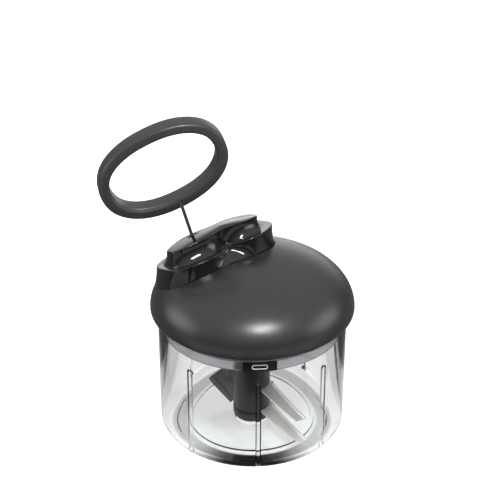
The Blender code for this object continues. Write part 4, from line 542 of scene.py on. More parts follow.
def rounded(corners, steps=4):
    """Round the corners of a closed outline given as (across, up, radius)."""
    points = []
    count = len(corners)
    for index, (across, up, radius) in enumerate(corners):
        corner = Vector((across, up))
        if radius == 0.0:
            points.append(corner)
            continue
        before = (Vector(corners[index - 1][:2]) - corner).normalized()
        after = (Vector(corners[(index + 1) % count][:2]) - corner).normalized()
        half = 0.5 * before.angle(after)
        centre = corner + (before + after).normalized() * (radius / math.sin(half))
        start = corner + before * (radius / math.tan(half)) - centre
        end = corner + after * (radius / math.tan(half)) - centre
        turn = start.angle(end)
        for step in range(steps + 1):
            share = step / steps
            points.append(centre + (start * math.sin(turn * (1.0 - share)) + end * math.sin(turn * share))
                          / math.sin(turn))
    return points


def circle(radius, count):
    """Points round a circle."""
    angles = [2.0 * math.pi * k / count for k in range(count)]
    return [(radius * math.cos(a), radius * math.sin(a)) for a in angles]


def turned_ring(name, corners, finish, columns):
    """A turned piece with a hole through it, from a closed rounded section."""
    round_axis = circle(1.0, columns)
    rings = [[Vector((r * x, r * y, z)) for x, y in round_axis] for r, z in rounded(corners)]
    return add_object(name, skin(rings, closed=True), finish)


def place_at(piece, matrix):
    """Move a piece's mesh to its place, with the object left at the origin."""
    piece.data.transform(matrix)
    return piece


def cut(piece, tool_mesh, operation="DIFFERENCE", matrix=None):
    """Apply a Boolean with a throwaway tool."""
    tool = add_object("tool", tool_mesh, "black")
    if matrix is not None:
        place_at(tool, matrix)
    modifier = piece.modifiers.new("cut", "BOOLEAN")
    modifier.operation = operation
    modifier.solver = "EXACT"
    modifier.object = tool
    bpy.context.view_layer.update()
    evaluated = piece.evaluated_get(bpy.context.evaluated_depsgraph_get())
    mesh = bpy.data.meshes.new_from_object(evaluated)
    piece.modifiers.clear()
    old = piece.data
    piece.data = mesh
    mesh.name = piece.name
    bpy.data.meshes.remove(old)
    bpy.data.objects.remove(tool)
    return piece


def outline_prism(outline, low, high):
    """An upright prism over a flat outline."""
    return skin([[Vector((x, y, z)) for x, y in outline] for z in (low, high)])


def smooth(share):
    """Ease from 0 to 1."""
    share = min(max(share, 0.0), 1.0)
    return share * share * (3.0 - 2.0 * share)


def frame_along(origin, direction):
    """A placement whose Z axis points along a direction."""
    return Matrix.Translation(origin) @ direction.to_track_quat("Z", "Y").to_matrix().to_4x4()


def dress(piece, body, slot, *nodes):
    """Ride a piece on a body and hide the CAD nodes it stands for. The slot, the name of its finish, is not
    used.
    """
    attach(piece, body)
    if nodes:
        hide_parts(*nodes)
    return piece


# Bowl


def bowl_angles(settings):
    """Azimuths of the bowl's columns, closer together over each rib."""
    angles = []
    pitch = 2.0 * math.pi / settings.rib_count
    reach = RIB_OFFSETS[-1] / settings.rim_radius
    for rib in range(settings.rib_count):
        centre = settings.rib_azimuth + rib * pitch
        angles += [centre + offset / settings.rim_radius for offset in RIB_OFFSETS]
        for step in range(1, COLUMNS_BETWEEN_RIBS):
            angles.append(centre + reach + (pitch - 2.0 * reach) * step / COLUMNS_BETWEEN_RIBS)
    return angles


def rib_share(settings, angle, height):
    """How far a rib stands out at a place of the inner wall, from 0 to 1."""
    pitch = 2.0 * math.pi / settings.rib_count
    turn = (angle - settings.rib_azimuth + 0.5 * pitch) % pitch - 0.5 * pitch
    across = abs(turn) * settings.rim_radius
    side = smooth((0.5 * settings.rib_width + RIB_SIDE_MARGIN - across) / RIB_SIDE_RUN)
    top = smooth((settings.rib_top - RIB_TOP_SLOPE * across - height) / RIB_TOP_RUN)
    return side * top


def bowl_profile(settings):
    """The bowl's section from its foot round to its pin hole, with close steps up the inner wall."""
    rim = settings.rim_radius
    wall = settings.wall
    base = rim - BOWL_DRAFT
    high = settings.height
    floor = settings.floor_top
    ring_top = floor + FLOOR_RING_HEIGHT
    boss_top = floor + BOSS_HEIGHT
    points = rounded([
        (SMALL_GAP, 0.0, 0.0), *BOWL_UNDERSIDE, (base, BOWL_HEEL_Z, BOWL_HEEL_ROUNDING),
        (rim, high, BOWL_RIM_ROUNDING), (rim - wall, high, BOWL_RIM_ROUNDING),
        (base - wall, floor, BOWL_FLOOR_ROUNDING), (FLOOR_RING_OUTER, floor, 0.0004),
        (FLOOR_RING_OUTER, ring_top, 0.0003), (FLOOR_RING_INNER, ring_top, 0.0003),
        (FLOOR_RING_INNER, floor, 0.0004), (BOSS_RADIUS, floor, 0.0006), (BOSS_RADIUS, boss_top, 0.0005),
        (PIN_HOLE_RADIUS, boss_top, 0.0004), (PIN_HOLE_RADIUS, PIN_HOLE_Z, 0.0), (SMALL_GAP, PIN_HOLE_Z, 0.0),
    ], 6)
    profile = []
    for point, following in zip(points, points[1:] + points[:1]):
        profile.append(point)
        run = abs(point.y - following.y)
        outside = max(point.x, following.x) >= rim - 0.5 * wall
        if run > WALL_LEAST_RUN and min(point.x, following.x) > base - wall - WALL_MARGIN and not outside:
            pieces = int(run / WALL_STEP)
            profile += [point.lerp(following, k / pieces) for k in range(1, pieces)]
    return profile


def make_bowl(settings):
    """The clear bowl: outer wall, foot, floor ring, boss and ribs in one skin."""
    rib_radius = settings.rim_radius - BOWL_DRAFT - settings.wall - settings.rib_depth
    wall_middle = settings.rim_radius - 0.5 * settings.wall
    angles = bowl_angles(settings)
    rings = []
    for point in bowl_profile(settings):
        inside = point.y > settings.floor_top - SMALL_GAP and rib_radius < point.x < wall_middle
        ring = []
        for angle in angles:
            radius = point.x
            if inside:
                radius += (rib_radius - radius) * rib_share(settings, angle, point.y)
            ring.append(polar(radius, angle, point.y))
        rings.append(ring)
    bm = skin(rings, start_tip=Vector(), end_tip=Vector((0.0, 0.0, PIN_HOLE_Z)))
    return add_object("bowl_clear", bm, "clear")


def make_bowl_mark(settings):
    """The small raised oblong on the bowl's front, under the lid."""
    run = MARK_HALF_LENGTH - MARK_HALF_HEIGHT
    rings = []
    for share, rise in MARK_RINGS:
        radius = settings.rim_radius + rise
        ring = []
        for x, y in circle(MARK_HALF_HEIGHT * share, MARK_COLUMNS):
            azimuth = MARK_AZIMUTH + (x + math.copysign(run, x)) / settings.rim_radius
            ring.append(polar(radius, azimuth, MARK_Z + y))
        rings.append(ring)
    return add_object("bowl_oblong_mark", skin(rings, closed=True), "mark")


# Lid


def dome_height(radius, wall=0.0):
    """Height of the dome's skin over a radius."""
    share = min(radius / (DOME_RADIUS - wall), 1.0)
    return DOME_BASE_Z + (DOME_RISE - wall) * math.sqrt(1.0 - share ** DOME_EXPONENT)


def ledge_height(x, y):
    """Height of the handle rest's sloping plane."""
    return REST_LEDGE_Z + REST_SLOPE.x * (x - REST_CENTRE.x) + REST_SLOPE.y * (y - REST_CENTRE.y)


def rest_point(u, v):
    """Plan position of a point given along and across the handle rest."""
    x = REST_CENTRE.x + u * math.cos(REST_TURN) - v * math.sin(REST_TURN)
    y = REST_CENTRE.y + u * math.sin(REST_TURN) + v * math.cos(REST_TURN)
    return x, y


def signed_power(value, power):
    """A power of a number's size, with the number's sign."""
    return math.copysign(abs(value) ** power, value)


def rest_outline(plan, offset, share=1.0):
    """A level of the handle rest, as (u, v): a rounded oblong with a waist, moved outwards or shrunk."""
    half_length, half_width, waist, middle = plan
    half_length += offset
    half_width += offset
    points = []
    for cosine, sine in circle(1.0, REST_COLUMNS):
        u = middle + half_length * signed_power(cosine, 2.0 / REST_EXPONENT)
        v = half_width * signed_power(sine, 2.0 / REST_EXPONENT)
        v *= 1.0 - waist / half_width * math.exp(-(((u - REST_WAIST_PLACE) / REST_WAIST_LENGTH) ** 2))
        points.append((middle + (u - middle) * share, v * share))
    return points


def between(first, second, share):
    """Outline part of the way from one to another."""
    return [(a[0] + (b[0] - a[0]) * share, a[1] + (b[1] - a[1]) * share) for a, b in zip(first, second)]


def island_height(u):
    """Height of the island's top edge over the ledge, arched along its length."""
    return ISLAND_HEIGHT - ISLAND_ARCH * ((u - ISLAND_ARCH_PLACE) / ISLAND_ARCH_LENGTH) ** 2


def make_dome():
    """The satin dome, skinned from the edge of the handle rest's opening out to the rim."""
    middle = REST_CENTRE.xy
    rays = []
    for u, v in rest_outline(REST_BASE, OPENING_GAP):
        out = Vector(rest_point(u, v)) - middle
        direction = out.normalized()
        rays.append((direction, out.length, middle.dot(direction)))

    def ring_at(share, radius, height_of, drop=0.0):
        ring = []
        for direction, near, ahead in rays:
            reach = -ahead + math.sqrt(ahead * ahead + radius * radius - middle.length_squared)
            place = middle + direction * (near + (reach - near) * share)
            ring.append(Vector((place.x, place.y, height_of(place.length) - drop)))
        return ring

    rings = []
    for step in range(OPENING_EDGE_STEPS + 1):
        share = step / OPENING_EDGE_STEPS
        rings.append(ring_at(OPENING_EDGE_SHARE * share * share, DOME_RADIUS, dome_height,
                             OPENING_EDGE * (1.0 - share) ** 2))
    for step in range(1, DOME_OUTER_STEPS + 1):
        share = math.sin(0.5 * math.pi * step / DOME_OUTER_STEPS)
        rings.append(ring_at(share, DOME_RADIUS, dome_height))
    for inset, height in DOME_RIM:
        rings.append(ring_at(1.0, DOME_RADIUS - inset, lambda _, z=height: z))
    inner = DOME_RADIUS - DOME_WALL
    for step in range(DOME_INNER_STEPS, -1, -1):
        share = math.sin(0.5 * math.pi * step / DOME_INNER_STEPS)
        rings.append(ring_at(share, inner, lambda r: dome_height(min(r, inner), DOME_WALL)))
    return add_object("dome_satin", skin(rings, closed=True), "dome", sharp=math.radians(50.0))


def rest_levels(inset):
    """Rings of the handle rest's surface, from its wall to its crown, moved inwards by an inset."""

    def plan(shape, offset=0.0, share=1.0):
        return rest_outline(shape, offset - inset, share)

    def shares(steps, first=0):
        return [k / steps for k in range(first, steps + 1)]

    base, ledge, foot, top = (plan(shape) for shape in (REST_BASE, REST_LEDGE, ISLAND_FOOT, ISLAND_TOP))
    # Levels: outline, share of the way from the dome to the ledge, share of the island's height, and rise
    levels = [(base, 0.0, 0.0, -REST_TUCK)]
    for share in shares(REST_WALL_STEPS):
        levels.append((between(ledge, base, (1.0 - share) ** REST_WALL_POWER), share, 0.0,
                       -share * REST_EDGE))
    for share in shares(REST_EDGE_STEPS, 1):
        turn = 0.5 * math.pi * share
        levels.append((plan(REST_LEDGE, -REST_EDGE * (1.0 - math.cos(turn))), 1.0, 0.0,
                       -REST_EDGE * (1.0 - math.sin(turn))))
    levels += [(plan(ISLAND_FOOT, offset), 1.0, 0.0, -drop) for offset, drop in LEDGE_LEVELS]
    for share in shares(ISLAND_WALL_STEPS):
        levels.append((between(foot, top, 1.0 - (1.0 - share) ** ISLAND_WALL_POWER), 1.0, share,
                       -share * ISLAND_EDGE))
    for share in shares(ISLAND_EDGE_STEPS, 1):
        turn = 0.5 * math.pi * share
        levels.append((plan(ISLAND_TOP, -ISLAND_EDGE * (1.0 - math.cos(turn))), 1.0, 1.0,
                       -ISLAND_EDGE * (1.0 - math.sin(turn))))
    for share in CROWN_SHARES:
        levels.append((plan(ISLAND_TOP, -ISLAND_EDGE, share), 1.0, 1.0, ISLAND_CROWN * (1.0 - share * share)))
    rings = []
    for outline, on_ledge, on_island, rise in levels:
        ring = []
        for u, v in outline:
            x, y = rest_point(u, v)
            height = (1.0 - on_ledge) * dome_height(math.hypot(x, y)) + on_ledge * ledge_height(x, y)
            ring.append(Vector((x, y, height + on_island * island_height(u) + rise - inset)))
        rings.append(ring)
    return rings


def island_surface(u, v):
    """Point on top of the island."""
    x, y = rest_point(u, v)
    half_length, half_width, _, middle = ISLAND_TOP
    spread = ((u - middle) / half_length) ** 2 + (v / half_width) ** 2
    return Vector((x, y, ledge_height(x, y) + island_height(u) + ISLAND_CROWN * (1.0 - spread)))


CORD_HOLE = island_surface(CORD_HOLE_U, CORD_HOLE_V)
CORD_END = CORD_HOLE + REST_NORMAL * CORD_OUT_LENGTH


def make_rest():
    """The glossy handle rest: step, ledge and island, with a hollow underside."""
    x, y = rest_point(ISLAND_PLACE, 0.0)
    crown = ledge_height(x, y) + island_height(ISLAND_PLACE) + ISLAND_CROWN
    rings = rest_levels(0.0)[::-1] + rest_levels(REST_WALL)
    bm = skin(rings, start_tip=Vector((x, y, crown)), end_tip=Vector((x, y, crown - REST_WALL)))
    rest = add_object("handle_rest_gloss", bm, "rest", sharp=math.radians(60.0))
    bore = outline_prism(circle(EYELET_HOLE_RADIUS, HOLE_COLUMNS), -EYELET_CUT, EYELET_CUT)
    return cut(rest, bore, matrix=frame_along(CORD_HOLE, REST_NORMAL))


def make_tab():
    """The dark tab on the front of the skirt: a block bent round the lid's axis."""
    section = rounded(TAB_SECTION, 3)
    rings = []
    for step in range(TAB_STEPS + 1):
        angle = TAB_START + (TAB_END - TAB_START) * step / TAB_STEPS
        rings.append([polar(r, angle, z) for r, z in section])
    return add_object("skirt_tab", skin(rings), "black")


# Ring handle


def ring_axes():
    """The ring handle's long axis, its short axis and its front direction."""
    yaw_front = Vector((math.sin(RING_YAW), -math.cos(RING_YAW), 0.0))
    roll = Vector((math.cos(RING_ROLL) * math.cos(RING_YAW),
                   math.cos(RING_ROLL) * math.sin(RING_YAW), math.sin(RING_ROLL)))
    upright = yaw_front.cross(roll)
    front = roll.cross(upright)
    short = upright * math.cos(RING_PITCH) - front * math.sin(RING_PITCH)
    return roll, short.normalized(), roll.cross(short).normalized()


def handle_place():
    """Placement of the ring handle, with its origin on the tilt axis."""
    rotation = Matrix(ring_axes()).transposed().to_4x4()
    return Matrix.Translation(CORD_END) @ rotation

def ring_point(angle, inward, forward):
    """Point of the ring handle's bar, in the ring's own frame about its middle."""
    u = RING_HALF_LENGTH * signed_power(math.cos(angle), 2.0 / RING_EXPONENT)
    s = RING_HALF_HEIGHT * signed_power(math.sin(angle), 2.0 / RING_EXPONENT)
    slope_u = signed_power(u / RING_HALF_LENGTH, RING_EXPONENT - 1.0) / RING_HALF_LENGTH
    slope_s = signed_power(s / RING_HALF_HEIGHT, RING_EXPONENT - 1.0) / RING_HALF_HEIGHT
    normal = Vector((slope_u, slope_s, 0.0)).normalized()
    return Vector((u, s, forward)) - normal * inward


def make_ring_handle():
    """The ring handle, with a ridge round its front and a hole for the cord."""
    half_depth = 0.5 * RING_BAR_DEPTH
    width = RING_BAR_WIDTH
    section = rounded([(w * width, d * half_depth, r * width) for w, d, r in BAR_CORNERS], 5)
    middle = Vector((0.0, RING_HALF_HEIGHT - CORD_SEAT_WIDTH, -CORD_SEAT_FRONT))
    rings = []
    for index in range(RING_COLUMNS):
        angle = 2.0 * math.pi * (index + 0.5) / RING_COLUMNS
        rings.append([middle + ring_point(angle, w, d) for w, d in section])
    handle = add_object("ring_handle", skin(rings, closed=True), "handle", sharp=math.radians(70.0))
    drop = CORD_SEAT_WIDTH - CORD_SEAT_BACK_WIDTH
    direction = Vector((0.0, -drop, -RING_BAR_DEPTH)).normalized()
    along = frame_along(Vector(), direction)
    bore = circle(CORD_BORE_RADIUS, CORD_COLUMNS)
    cut(handle, outline_prism(bore, 0.0, 2.0 * RING_BAR_DEPTH), matrix=along)
    back = (CORD_SEAT_FRONT + half_depth) / -direction.z
    pocket = circle(KNOT_POCKET_RADIUS, HOLE_COLUMNS)
    cut(handle, outline_prism(pocket, back - KNOT_POCKET_DEPTH, back + RING_BAR_DEPTH), matrix=along)
    return place_at(handle, handle_place())


# Cord


def cord_route():
    """Points along the cord from the reel round its guide, and the place where it leaves the guide."""
    corner = CORD_HOLE - REST_NORMAL * ((CORD_HOLE.z - CORD_LEVEL_Z) / REST_NORMAL.z)
    spread = math.acos(CORD_WOUND_RADIUS / math.hypot(corner.x, corner.y))
    azimuth = math.atan2(corner.y, corner.x) - spread
    tangent = polar(CORD_WOUND_RADIUS, azimuth, CORD_LEVEL_Z)
    inward = (corner - tangent).normalized()
    half_turn = 0.5 * inward.angle(REST_NORMAL)
    reach = CORD_BEND_RADIUS * math.tan(half_turn)
    start = corner - inward * reach
    centre = corner + (REST_NORMAL - inward).normalized() * (CORD_BEND_RADIUS / math.cos(half_turn))
    axis = inward.cross(REST_NORMAL).normalized()
    route = [tangent.lerp(start, k / CORD_LEVEL_STEPS) for k in range(CORD_LEVEL_STEPS)]
    for step in range(CORD_BEND_STEPS + 1):
        turn = Matrix.Rotation(2.0 * half_turn * step / CORD_BEND_STEPS, 3, axis)
        route.append(centre + turn @ (start - centre))
    return route, corner + REST_NORMAL * reach


def tube(name, route, radius, finish):
    """A round tube along a route, with narrowed ends."""
    rings = []
    across = None
    for index, point in enumerate(route):
        before = route[max(index - 1, 0)]
        after = route[min(index + 1, len(route) - 1)]
        direction = (after - before).normalized()
        if across is None:
            across = direction.orthogonal().normalized()
        across = (across - direction * across.dot(direction)).normalized()
        beside = direction.cross(across)
        shrink = CORD_TIP_SHRINK if index in (0, len(route) - 1) else 1.0
        rings.append([point + (across * x + beside * y) * radius * shrink
                      for x, y in circle(1.0, CORD_COLUMNS)])
    return add_object(name, skin(rings), finish, sharp=math.radians(60.0))


# Blade unit


def make_hub():
    """The blade unit's hub: a hollow turned body with a hexagon on top."""
    hub = turned_ring("blade_hub_moulded", HUB_SECTION, "black", HUB_COLUMNS)
    return cut(hub, outline_prism(circle(HEXAGON_RADIUS, 6), HEXAGON_LOW_Z, HEXAGON_HIGH_Z), "UNION")


def blade_mesh(low_z, tip_length):
    """A flat blade with a rounded tip and an eye, before its edge is ground."""
    taper = (BLADE_TIP_BACK - BLADE_ROOT_BACK) / (BLADE_TIP_LENGTH - BLADE_ROOT_LENGTH)
    outline = [(BLADE_ROOT_LENGTH, BLADE_EDGE_OFFSET)]
    for step in range(BLADE_TIP_STEPS + 1):
        angle = 0.5 * math.pi * (1.0 - step / BLADE_TIP_STEPS)
        outline.append((tip_length + BLADE_TIP_ROUNDING * (math.cos(angle) - 1.0),
                        BLADE_EDGE_OFFSET + BLADE_TIP_ROUNDING * (math.sin(angle) - 1.0)))
    low_length = tip_length - BLADE_TIP_DROP
    outline.append((low_length, BLADE_ROOT_BACK + taper * (low_length - BLADE_ROOT_LENGTH)))
    outline.append((BLADE_ROOT_LENGTH, BLADE_ROOT_BACK))
    start = math.atan2(BLADE_ROOT_BACK, BLADE_EYE_RADIUS)
    end = math.atan2(BLADE_EYE_RADIUS, BLADE_ROOT_LENGTH) - 2.0 * math.pi
    for step in range(1, BLADE_EYE_STEPS + 1):
        angle = start + (end - start) * step / BLADE_EYE_STEPS
        outline.append((BLADE_EYE_RADIUS * math.cos(angle), BLADE_EYE_RADIUS * math.sin(angle)))
    return outline_prism(outline, low_z, low_z + BLADE_THICKNESS)


def make_blade(name, low_z, tip_length):
    """One steel blade: stamped, with an eye, its edge ground on the upper side."""
    blade = add_object(name, blade_mesh(low_z, tip_length), "blade")
    hole = circle(BLADE_HOLE_RADIUS, HOLE_COLUMNS)
    cut(blade, outline_prism(hole, low_z - 2.0 * CUT_MARGIN, low_z + 3.0 * CUT_MARGIN))
    top = low_z + BLADE_THICKNESS
    back = BLADE_EDGE_OFFSET - BEVEL_WIDTH
    front = BLADE_EDGE_OFFSET + CUT_MARGIN
    section = ((back, top), (front, top - BEVEL_DEPTH), (front, top + CUT_MARGIN), (back, top + CUT_MARGIN))
    cut(blade, skin([[Vector((u, v, z)) for v, z in section]
                     for u in (BLADE_ROOT_LENGTH + BEVEL_START, tip_length + 10.0 * CUT_MARGIN)]))
    return place_at(blade, Matrix.Rotation(BLADE_AZIMUTH, 4, "Z"))


def upright_slab(corners, half_width):
    """A slab that stands on edge, from a rounded section given as (radius, height, rounding)."""
    section = rounded(corners)
    return skin([[Vector((r, y, z)) for r, z in section] for y in (-half_width, half_width)])


def make_paddle():
    """The mixing vane: a thin face with a thick lip along its lower edge."""
    paddle = add_object("mixing_vane", upright_slab(PADDLE_FACE, PADDLE_FACE_HALF_WIDTH), "paddle")
    cut(paddle, upright_slab(PADDLE_LIP, PADDLE_LIP_HALF_WIDTH), "UNION")
    return place_at(paddle, Matrix.Rotation(PADDLE_AZIMUTH, 4, "Z"))


# Settings that a user would change


def number(name, description, default, **options):
    """A number that a user can set."""
    return bpy.props.FloatProperty(name=name, description=description, default=default, **options)


class ChopperBowlSettings(bpy.types.PropertyGroup):
    """Sizes of the clear bowl."""

    rim_radius: number("Rim Radius", "Outer radius of the bowl's rim", 0.0695, unit="LENGTH")
    height: number("Height", "Height of the rim over the table", 0.0970, unit="LENGTH")
    wall: number("Wall", "Thickness of the bowl's wall", 0.0022, unit="LENGTH")
    floor_top: number("Floor", "Height of the floor inside the bowl", 0.0030, unit="LENGTH")
    rib_count: bpy.props.IntProperty(name="Ribs", description="Number of ribs on the inner wall", default=8)
    rib_width: number("Rib Width", "Width of a rib", 0.0036, unit="LENGTH")
    rib_depth: number("Rib Depth", "How far a rib stands out", 0.0016, unit="LENGTH")
    rib_top: number("Rib Top", "Height of the ribs' tops", 0.0765, unit="LENGTH")
    rib_azimuth: number("First Rib", "Azimuth of the front rib", math.radians(-86.0), subtype="ANGLE")


class ChopperStageSettings(bpy.types.PropertyGroup):
    """Light and floor."""

    floor_colour: bpy.props.FloatVectorProperty(name="Floor Colour", description="Colour of the floor",
                                                subtype="COLOR", default=linear("#F4F4F4"))
    key_light: number("Key Light", "Power of the soft box over the front", 8.0, unit="POWER")
    side_light: number("Side Cards", "Brightness of the cards at the sides", 3.2)
    back_light: number("Backdrop", "Brightness of the backdrop", 1.6)
    sky: number("Sky", "Strength of the soft light from straight above", 0.95)
    horizon: number("Horizon", "Strength of the soft light from the horizon", 0.12)
    floor_lift: number("Floor Lift", "Light added to the floor so that it reads white", 0.50)


class CHOPPER_OT_materials(bpy.types.Operator):
    """Make every finish of the chopper"""

    bl_idname = "chopper.materials"
    bl_label = "Materials"

    def execute(self, context):
        MATERIALS.update(make_materials())
        return {"FINISHED"}


class CHOPPER_OT_stage(bpy.types.Operator):
    """Set the camera, the floor and the studio light"""

    bl_idname = "chopper.stage"
    bl_label = "Stage"

    def execute(self, context):
        settings = context.scene.chopper_stage
        scene = context.scene
        camera = add_to_scene("camera", bpy.data.cameras.new("camera"))
        camera.data.lens = CAMERA_LENS
        camera.data.sensor_width = CAMERA_SENSOR
        camera.location = CAMERA_PLACE
        camera.rotation_euler = (0.5 * math.pi - CAMERA_TILT, 0.0, CAMERA_TURN)
        camera.data.clip_end = CLIP_END
        scene.camera = camera
        scene.view_settings.view_transform = "Standard"
        self.make_floor(settings)
        self.make_lights(settings)
        self.make_world(settings)
        return {"FINISHED"}

    def make_floor(self, settings):
        """A matt white card. Gloss and clear plastic see painted shade and painted dark reflections on it,
        which draw the bowl's edges.
        """
        made, tree, place = new_material("matt_white_card")
        axes = add_node(tree, "ShaderNodeSeparateXYZ", {"Vector": place})
        reach = add_node(tree, "ShaderNodeVectorMath", {0: place}, operation="LENGTH")
        path = add_node(tree, "ShaderNodeLightPath")
        known = work_out(tree, PAINTED_FLOOR_SHADE, {
            "x": axes.outputs["X"], "y": axes.outputs["Y"], "radius": reach.outputs["Value"],
            "glossy": path.outputs["Is Glossy Ray"], "transmission": path.outputs["Is Transmission Ray"],
            "camera": path.outputs["Is Camera Ray"], "lift": settings.floor_lift,
        })
        # Painted shade: for gloss and clear plastic the card's colour is darkened by the painted floor shade
        colour = add_node(tree, "ShaderNodeVectorMath", {0: settings.floor_colour, "Scale": known["body"]},
                          operation="SCALE")
        card = add_node(tree, "ShaderNodeBsdfDiffuse", {"Color": colour})
        # An even lift for the camera; for gloss and clear plastic a painted glow that follows the painted
        # floor shade
        glow = add_node(tree, "ShaderNodeEmission", {"Color": WHITE, "Strength": known["lift"]})
        finish_material(tree, add_node(tree, "ShaderNodeAddShader", {0: card, 1: glow}))
        self.add_card("floor", made, FLOOR_SIZE)

    def add_card(self, name, material, size, place=(0.0, 0.0, 0.0), aim=None):
        """A flat rectangle of the studio, level or facing a point."""
        x, y = 0.5 * size[0], 0.5 * size[1]
        mesh = bpy.data.meshes.new(name)
        mesh.from_pydata([(-x, -y, 0.0), (x, -y, 0.0), (x, y, 0.0), (-x, y, 0.0)], [], [(0, 1, 2, 3)])
        mesh.materials.append(material)
        card = add_to_scene(name, mesh)
        card.location = place
        if aim is not None:
            card.rotation_euler = (Vector(aim) - Vector(place)).to_track_quat("-Z", "Y").to_euler()

    def make_lights(self, settings):
        """A soft box over the front, two dim side cards and a white backdrop."""
        data = bpy.data.lights.new("key_light", "AREA")
        data.shape = "RECTANGLE"
        data.size, data.size_y = KEY_SIZE
        data.energy = settings.key_light
        key = add_to_scene("key_light", data)
        key.location = KEY_PLACE
        key.rotation_euler = (STAGE_AIM - KEY_PLACE).to_track_quat("-Z", "Y").to_euler()
        for name, place, aim, size, setting in CARDS:
            self.add_card(name, self.glow_material(name, size, getattr(settings, setting)), size, place, aim)

    def glow_material(self, name, size, strength):
        """A sheer glow that fades towards a card's edges and doesn't show in the picture."""
        made, tree, place = new_material(name)
        axes = add_node(tree, "ShaderNodeSeparateXYZ", {"Vector": place})
        path = add_node(tree, "ShaderNodeLightPath")
        fades = [(CARD_FADE_START * span, CARD_FADE_END * span, 1.0, 0.0) for span in size]
        known = work_out(tree, (
            ("away_x", "ABSOLUTE", "x", 0.0),
            ("away_y", "ABSOLUTE", "y", 0.0),
            ("fade_x", "RAMP", "away_x", fades[0]),
            ("fade_y", "RAMP", "away_y", fades[1]),
            ("glow", "MULTIPLY", "fade_x", "fade_y"),
            ("glow", "MULTIPLY", "glow", strength),
            ("unseen", "SUBTRACT", 1.0, "camera"),
            ("glow", "MULTIPLY", "glow", "unseen"),
        ), {"x": axes.outputs["X"], "y": axes.outputs["Y"], "camera": path.outputs["Is Camera Ray"]})
        glow = add_node(tree, "ShaderNodeEmission", {"Color": WHITE, "Strength": known["glow"]})
        veil = add_node(tree, "ShaderNodeBsdfTransparent")
        finish_material(tree, add_node(tree, "ShaderNodeAddShader", {0: veil, 1: glow}))
        return made

    def make_world(self, settings):
        """A sky that is brightest overhead, and that the camera sees as white."""
        world = bpy.data.worlds.new("studio")
        bpy.context.scene.world = world
        world.use_nodes = True
        tree = world.node_tree
        tree.nodes.clear()
        path = add_node(tree, "ShaderNodeLightPath")
        heading = add_node(tree, "ShaderNodeTexCoord")
        axes = add_node(tree, "ShaderNodeSeparateXYZ", {"Vector": heading.outputs["Generated"]})
        known = work_out(tree, (
            ("strength", "RAMP", "up", (0.0, SKY_TOP, settings.horizon, settings.sky)),
            ("strength", "RAMP", "camera", (0.0, 1.0, "strength", 1.0)),
        ), {"up": axes.outputs["Z"], "camera": path.outputs["Is Camera Ray"]})
        sky = add_node(tree, "ShaderNodeBackground", {"Color": WHITE, "Strength": known["strength"]})
        add_node(tree, "ShaderNodeOutputWorld", {"Surface": sky})


class CHOPPER_OT_cord(bpy.types.Operator):
    """Lay the cord from the reel, round its guide and out to the ring handle"""

    bl_idname = "chopper.cord"
    bl_label = "Cord"

    def execute(self, context):
        route, bend_end = cord_route()
        lead_end = CORD_HOLE - REST_NORMAL * CORD_LEAD_DEPTH
        route += [bend_end.lerp(lead_end, k / CORD_LEAD_STEPS) for k in range(1, CORD_LEAD_STEPS + 1)]
        dress(tube("cord_inside", route, CORD_RADIUS, "cord"), "lid", "cord", "cord_lead")
        start = lead_end + REST_NORMAL * SMALL_GAP
        straight = [start.lerp(CORD_END, k / CORD_OUT_STEPS) for k in range(CORD_OUT_STEPS + 1)]
        out = tube("cord_out", straight, CORD_RADIUS, "cord")
        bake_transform(out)
        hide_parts("cord_span", "cord_end")
        return {"FINISHED"}


class CHOPPER_OT_bowl(bpy.types.Operator):
    """Make the clear bowl and its mark"""

    bl_idname = "chopper.bowl"
    bl_label = "Bowl"

    def execute(self, context):
        settings = context.scene.chopper_bowl
        dress(make_bowl(settings), "bowl", "clear_plastic", "bowl")
        dress(make_bowl_mark(settings), "bowl", "clear_plastic")
        return {"FINISHED"}


class CHOPPER_OT_lid(bpy.types.Operator):
    """Make the dome, the handle rest and the lid base"""

    bl_idname = "chopper.lid"
    bl_label = "Lid"

    def execute(self, context):
        dress(make_dome(), "lid", "satin_black", "dome_cover")
        dress(make_rest(), "lid", "gloss_black", "handle_rest")
        base = turned_ring("lid_base_frosted", LID_BASE_SECTION, "smoke", LID_COLUMNS)
        dress(base, "lid", "grey_plastic", "lid_base")
        dress(make_tab(), "lid", "black_nylon")
        dress(turned_ring("seal_ring", SEAL_SECTION, "seal", LID_COLUMNS), "lid", "rubber", "lid_seal")
        return {"FINISHED"}


class CHOPPER_OT_handle(bpy.types.Operator):
    """Make the ring handle"""

    bl_idname = "chopper.handle"
    bl_label = "Ring Handle"

    def execute(self, context):
        dress(make_ring_handle(), "handle", "handle_black", "pull_handle")
        return {"FINISHED"}


class CHOPPER_OT_blades(bpy.types.Operator):
    """Make the blade unit"""

    bl_idname = "chopper.blades"
    bl_label = "Blade Unit"

    def execute(self, context):
        dress(make_hub(), "blades", "black_nylon", "blade_hub")
        cap = turned_ring("hub_cap_moulded", HUB_CAP_SECTION, "black", HUB_COLUMNS)
        dress(cap, "blades", "black_nylon", "hub_cap")
        for name, low_z, tip_length, node in BLADES:
            dress(make_blade(name, low_z, tip_length), "blades", "steel", node)
        dress(make_paddle(), "blades", "grey_paddle", "mixing_paddle")
        return {"FINISHED"}


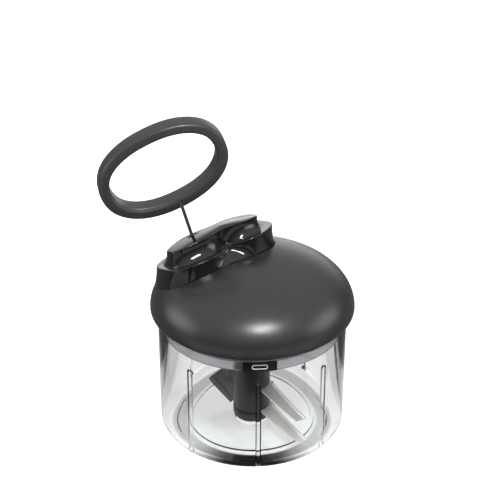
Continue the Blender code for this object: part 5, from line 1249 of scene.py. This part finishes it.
CAD_FINISHES = {
    "pin": ["pivot_pin", "reel_axle"],
    "spring": ["recoil_spring", "axle_clip"],
    "zinc": ["drive_screw", "rest_screw_1", "rest_screw_2", *(f"base_screw_{k}" for k in range(1, 5)),
             *(f"bracket_screw_{k}" for k in range(1, 4))],
    "black": ["mechanism_bracket", "drive_ratchet", "drive_socket", "cord_eyelet"],
    "natural": ["reel", "reel_cover", "thrust_washer", "output_bush", "cord_guide"],
    "cord": ["cord_winding", "cord_knot"],
    "handle": ["knot_plug"],
}


class CHOPPER_OT_mechanism(bpy.types.Operator):
    """Give the mechanism's own solids their finishes"""

    bl_idname = "chopper.mechanism"
    bl_label = "Mechanism"

    def execute(self, context):
        for finish, names in CAD_FINISHES.items():
            for name in names:
                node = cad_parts[name]
                node.data.materials.clear()
                node.data.materials.append(MATERIALS[finish])
        return {"FINISHED"}


class CHOPPER_PT_panel(bpy.types.Panel):
    """Lists the chopper's operators and sizes"""

    bl_idname = "CHOPPER_PT_panel"
    bl_label = "Chopper"
    bl_space_type = "VIEW_3D"
    bl_region_type = "UI"
    bl_category = "Chopper"

    def draw(self, context):
        for operator in OPERATORS:
            self.layout.operator(operator.bl_idname)
        for group in (context.scene.chopper_bowl, context.scene.chopper_stage):
            for name in group.bl_rna.properties.keys():
                if name not in ("rna_type", "name"):
                    self.layout.prop(group, name)


OPERATORS = (
    CHOPPER_OT_materials, CHOPPER_OT_stage, CHOPPER_OT_cord, CHOPPER_OT_bowl, CHOPPER_OT_lid,
    CHOPPER_OT_handle, CHOPPER_OT_blades, CHOPPER_OT_mechanism,
)
GROUPS = {"chopper_bowl": ChopperBowlSettings, "chopper_stage": ChopperStageSettings}


def register():
    """Register the classes and their settings."""
    for name, group in GROUPS.items():
        bpy.utils.register_class(group)
        setattr(bpy.types.Scene, name, bpy.props.PointerProperty(type=group))
    for made in (*OPERATORS, CHOPPER_PT_panel):
        bpy.utils.register_class(made)


def unregister():
    """Undo register."""
    for made in reversed((*OPERATORS, CHOPPER_PT_panel)):
        bpy.utils.unregister_class(made)
    for name, group in GROUPS.items():
        delattr(bpy.types.Scene, name)
        bpy.utils.unregister_class(group)


def main():
    """Dress the chopper."""
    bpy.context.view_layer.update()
    register()
    for operator in OPERATORS:
        category, name = operator.bl_idname.split(".")
        getattr(getattr(bpy.ops, category), name)()


if __name__ == "__main__":
    main()
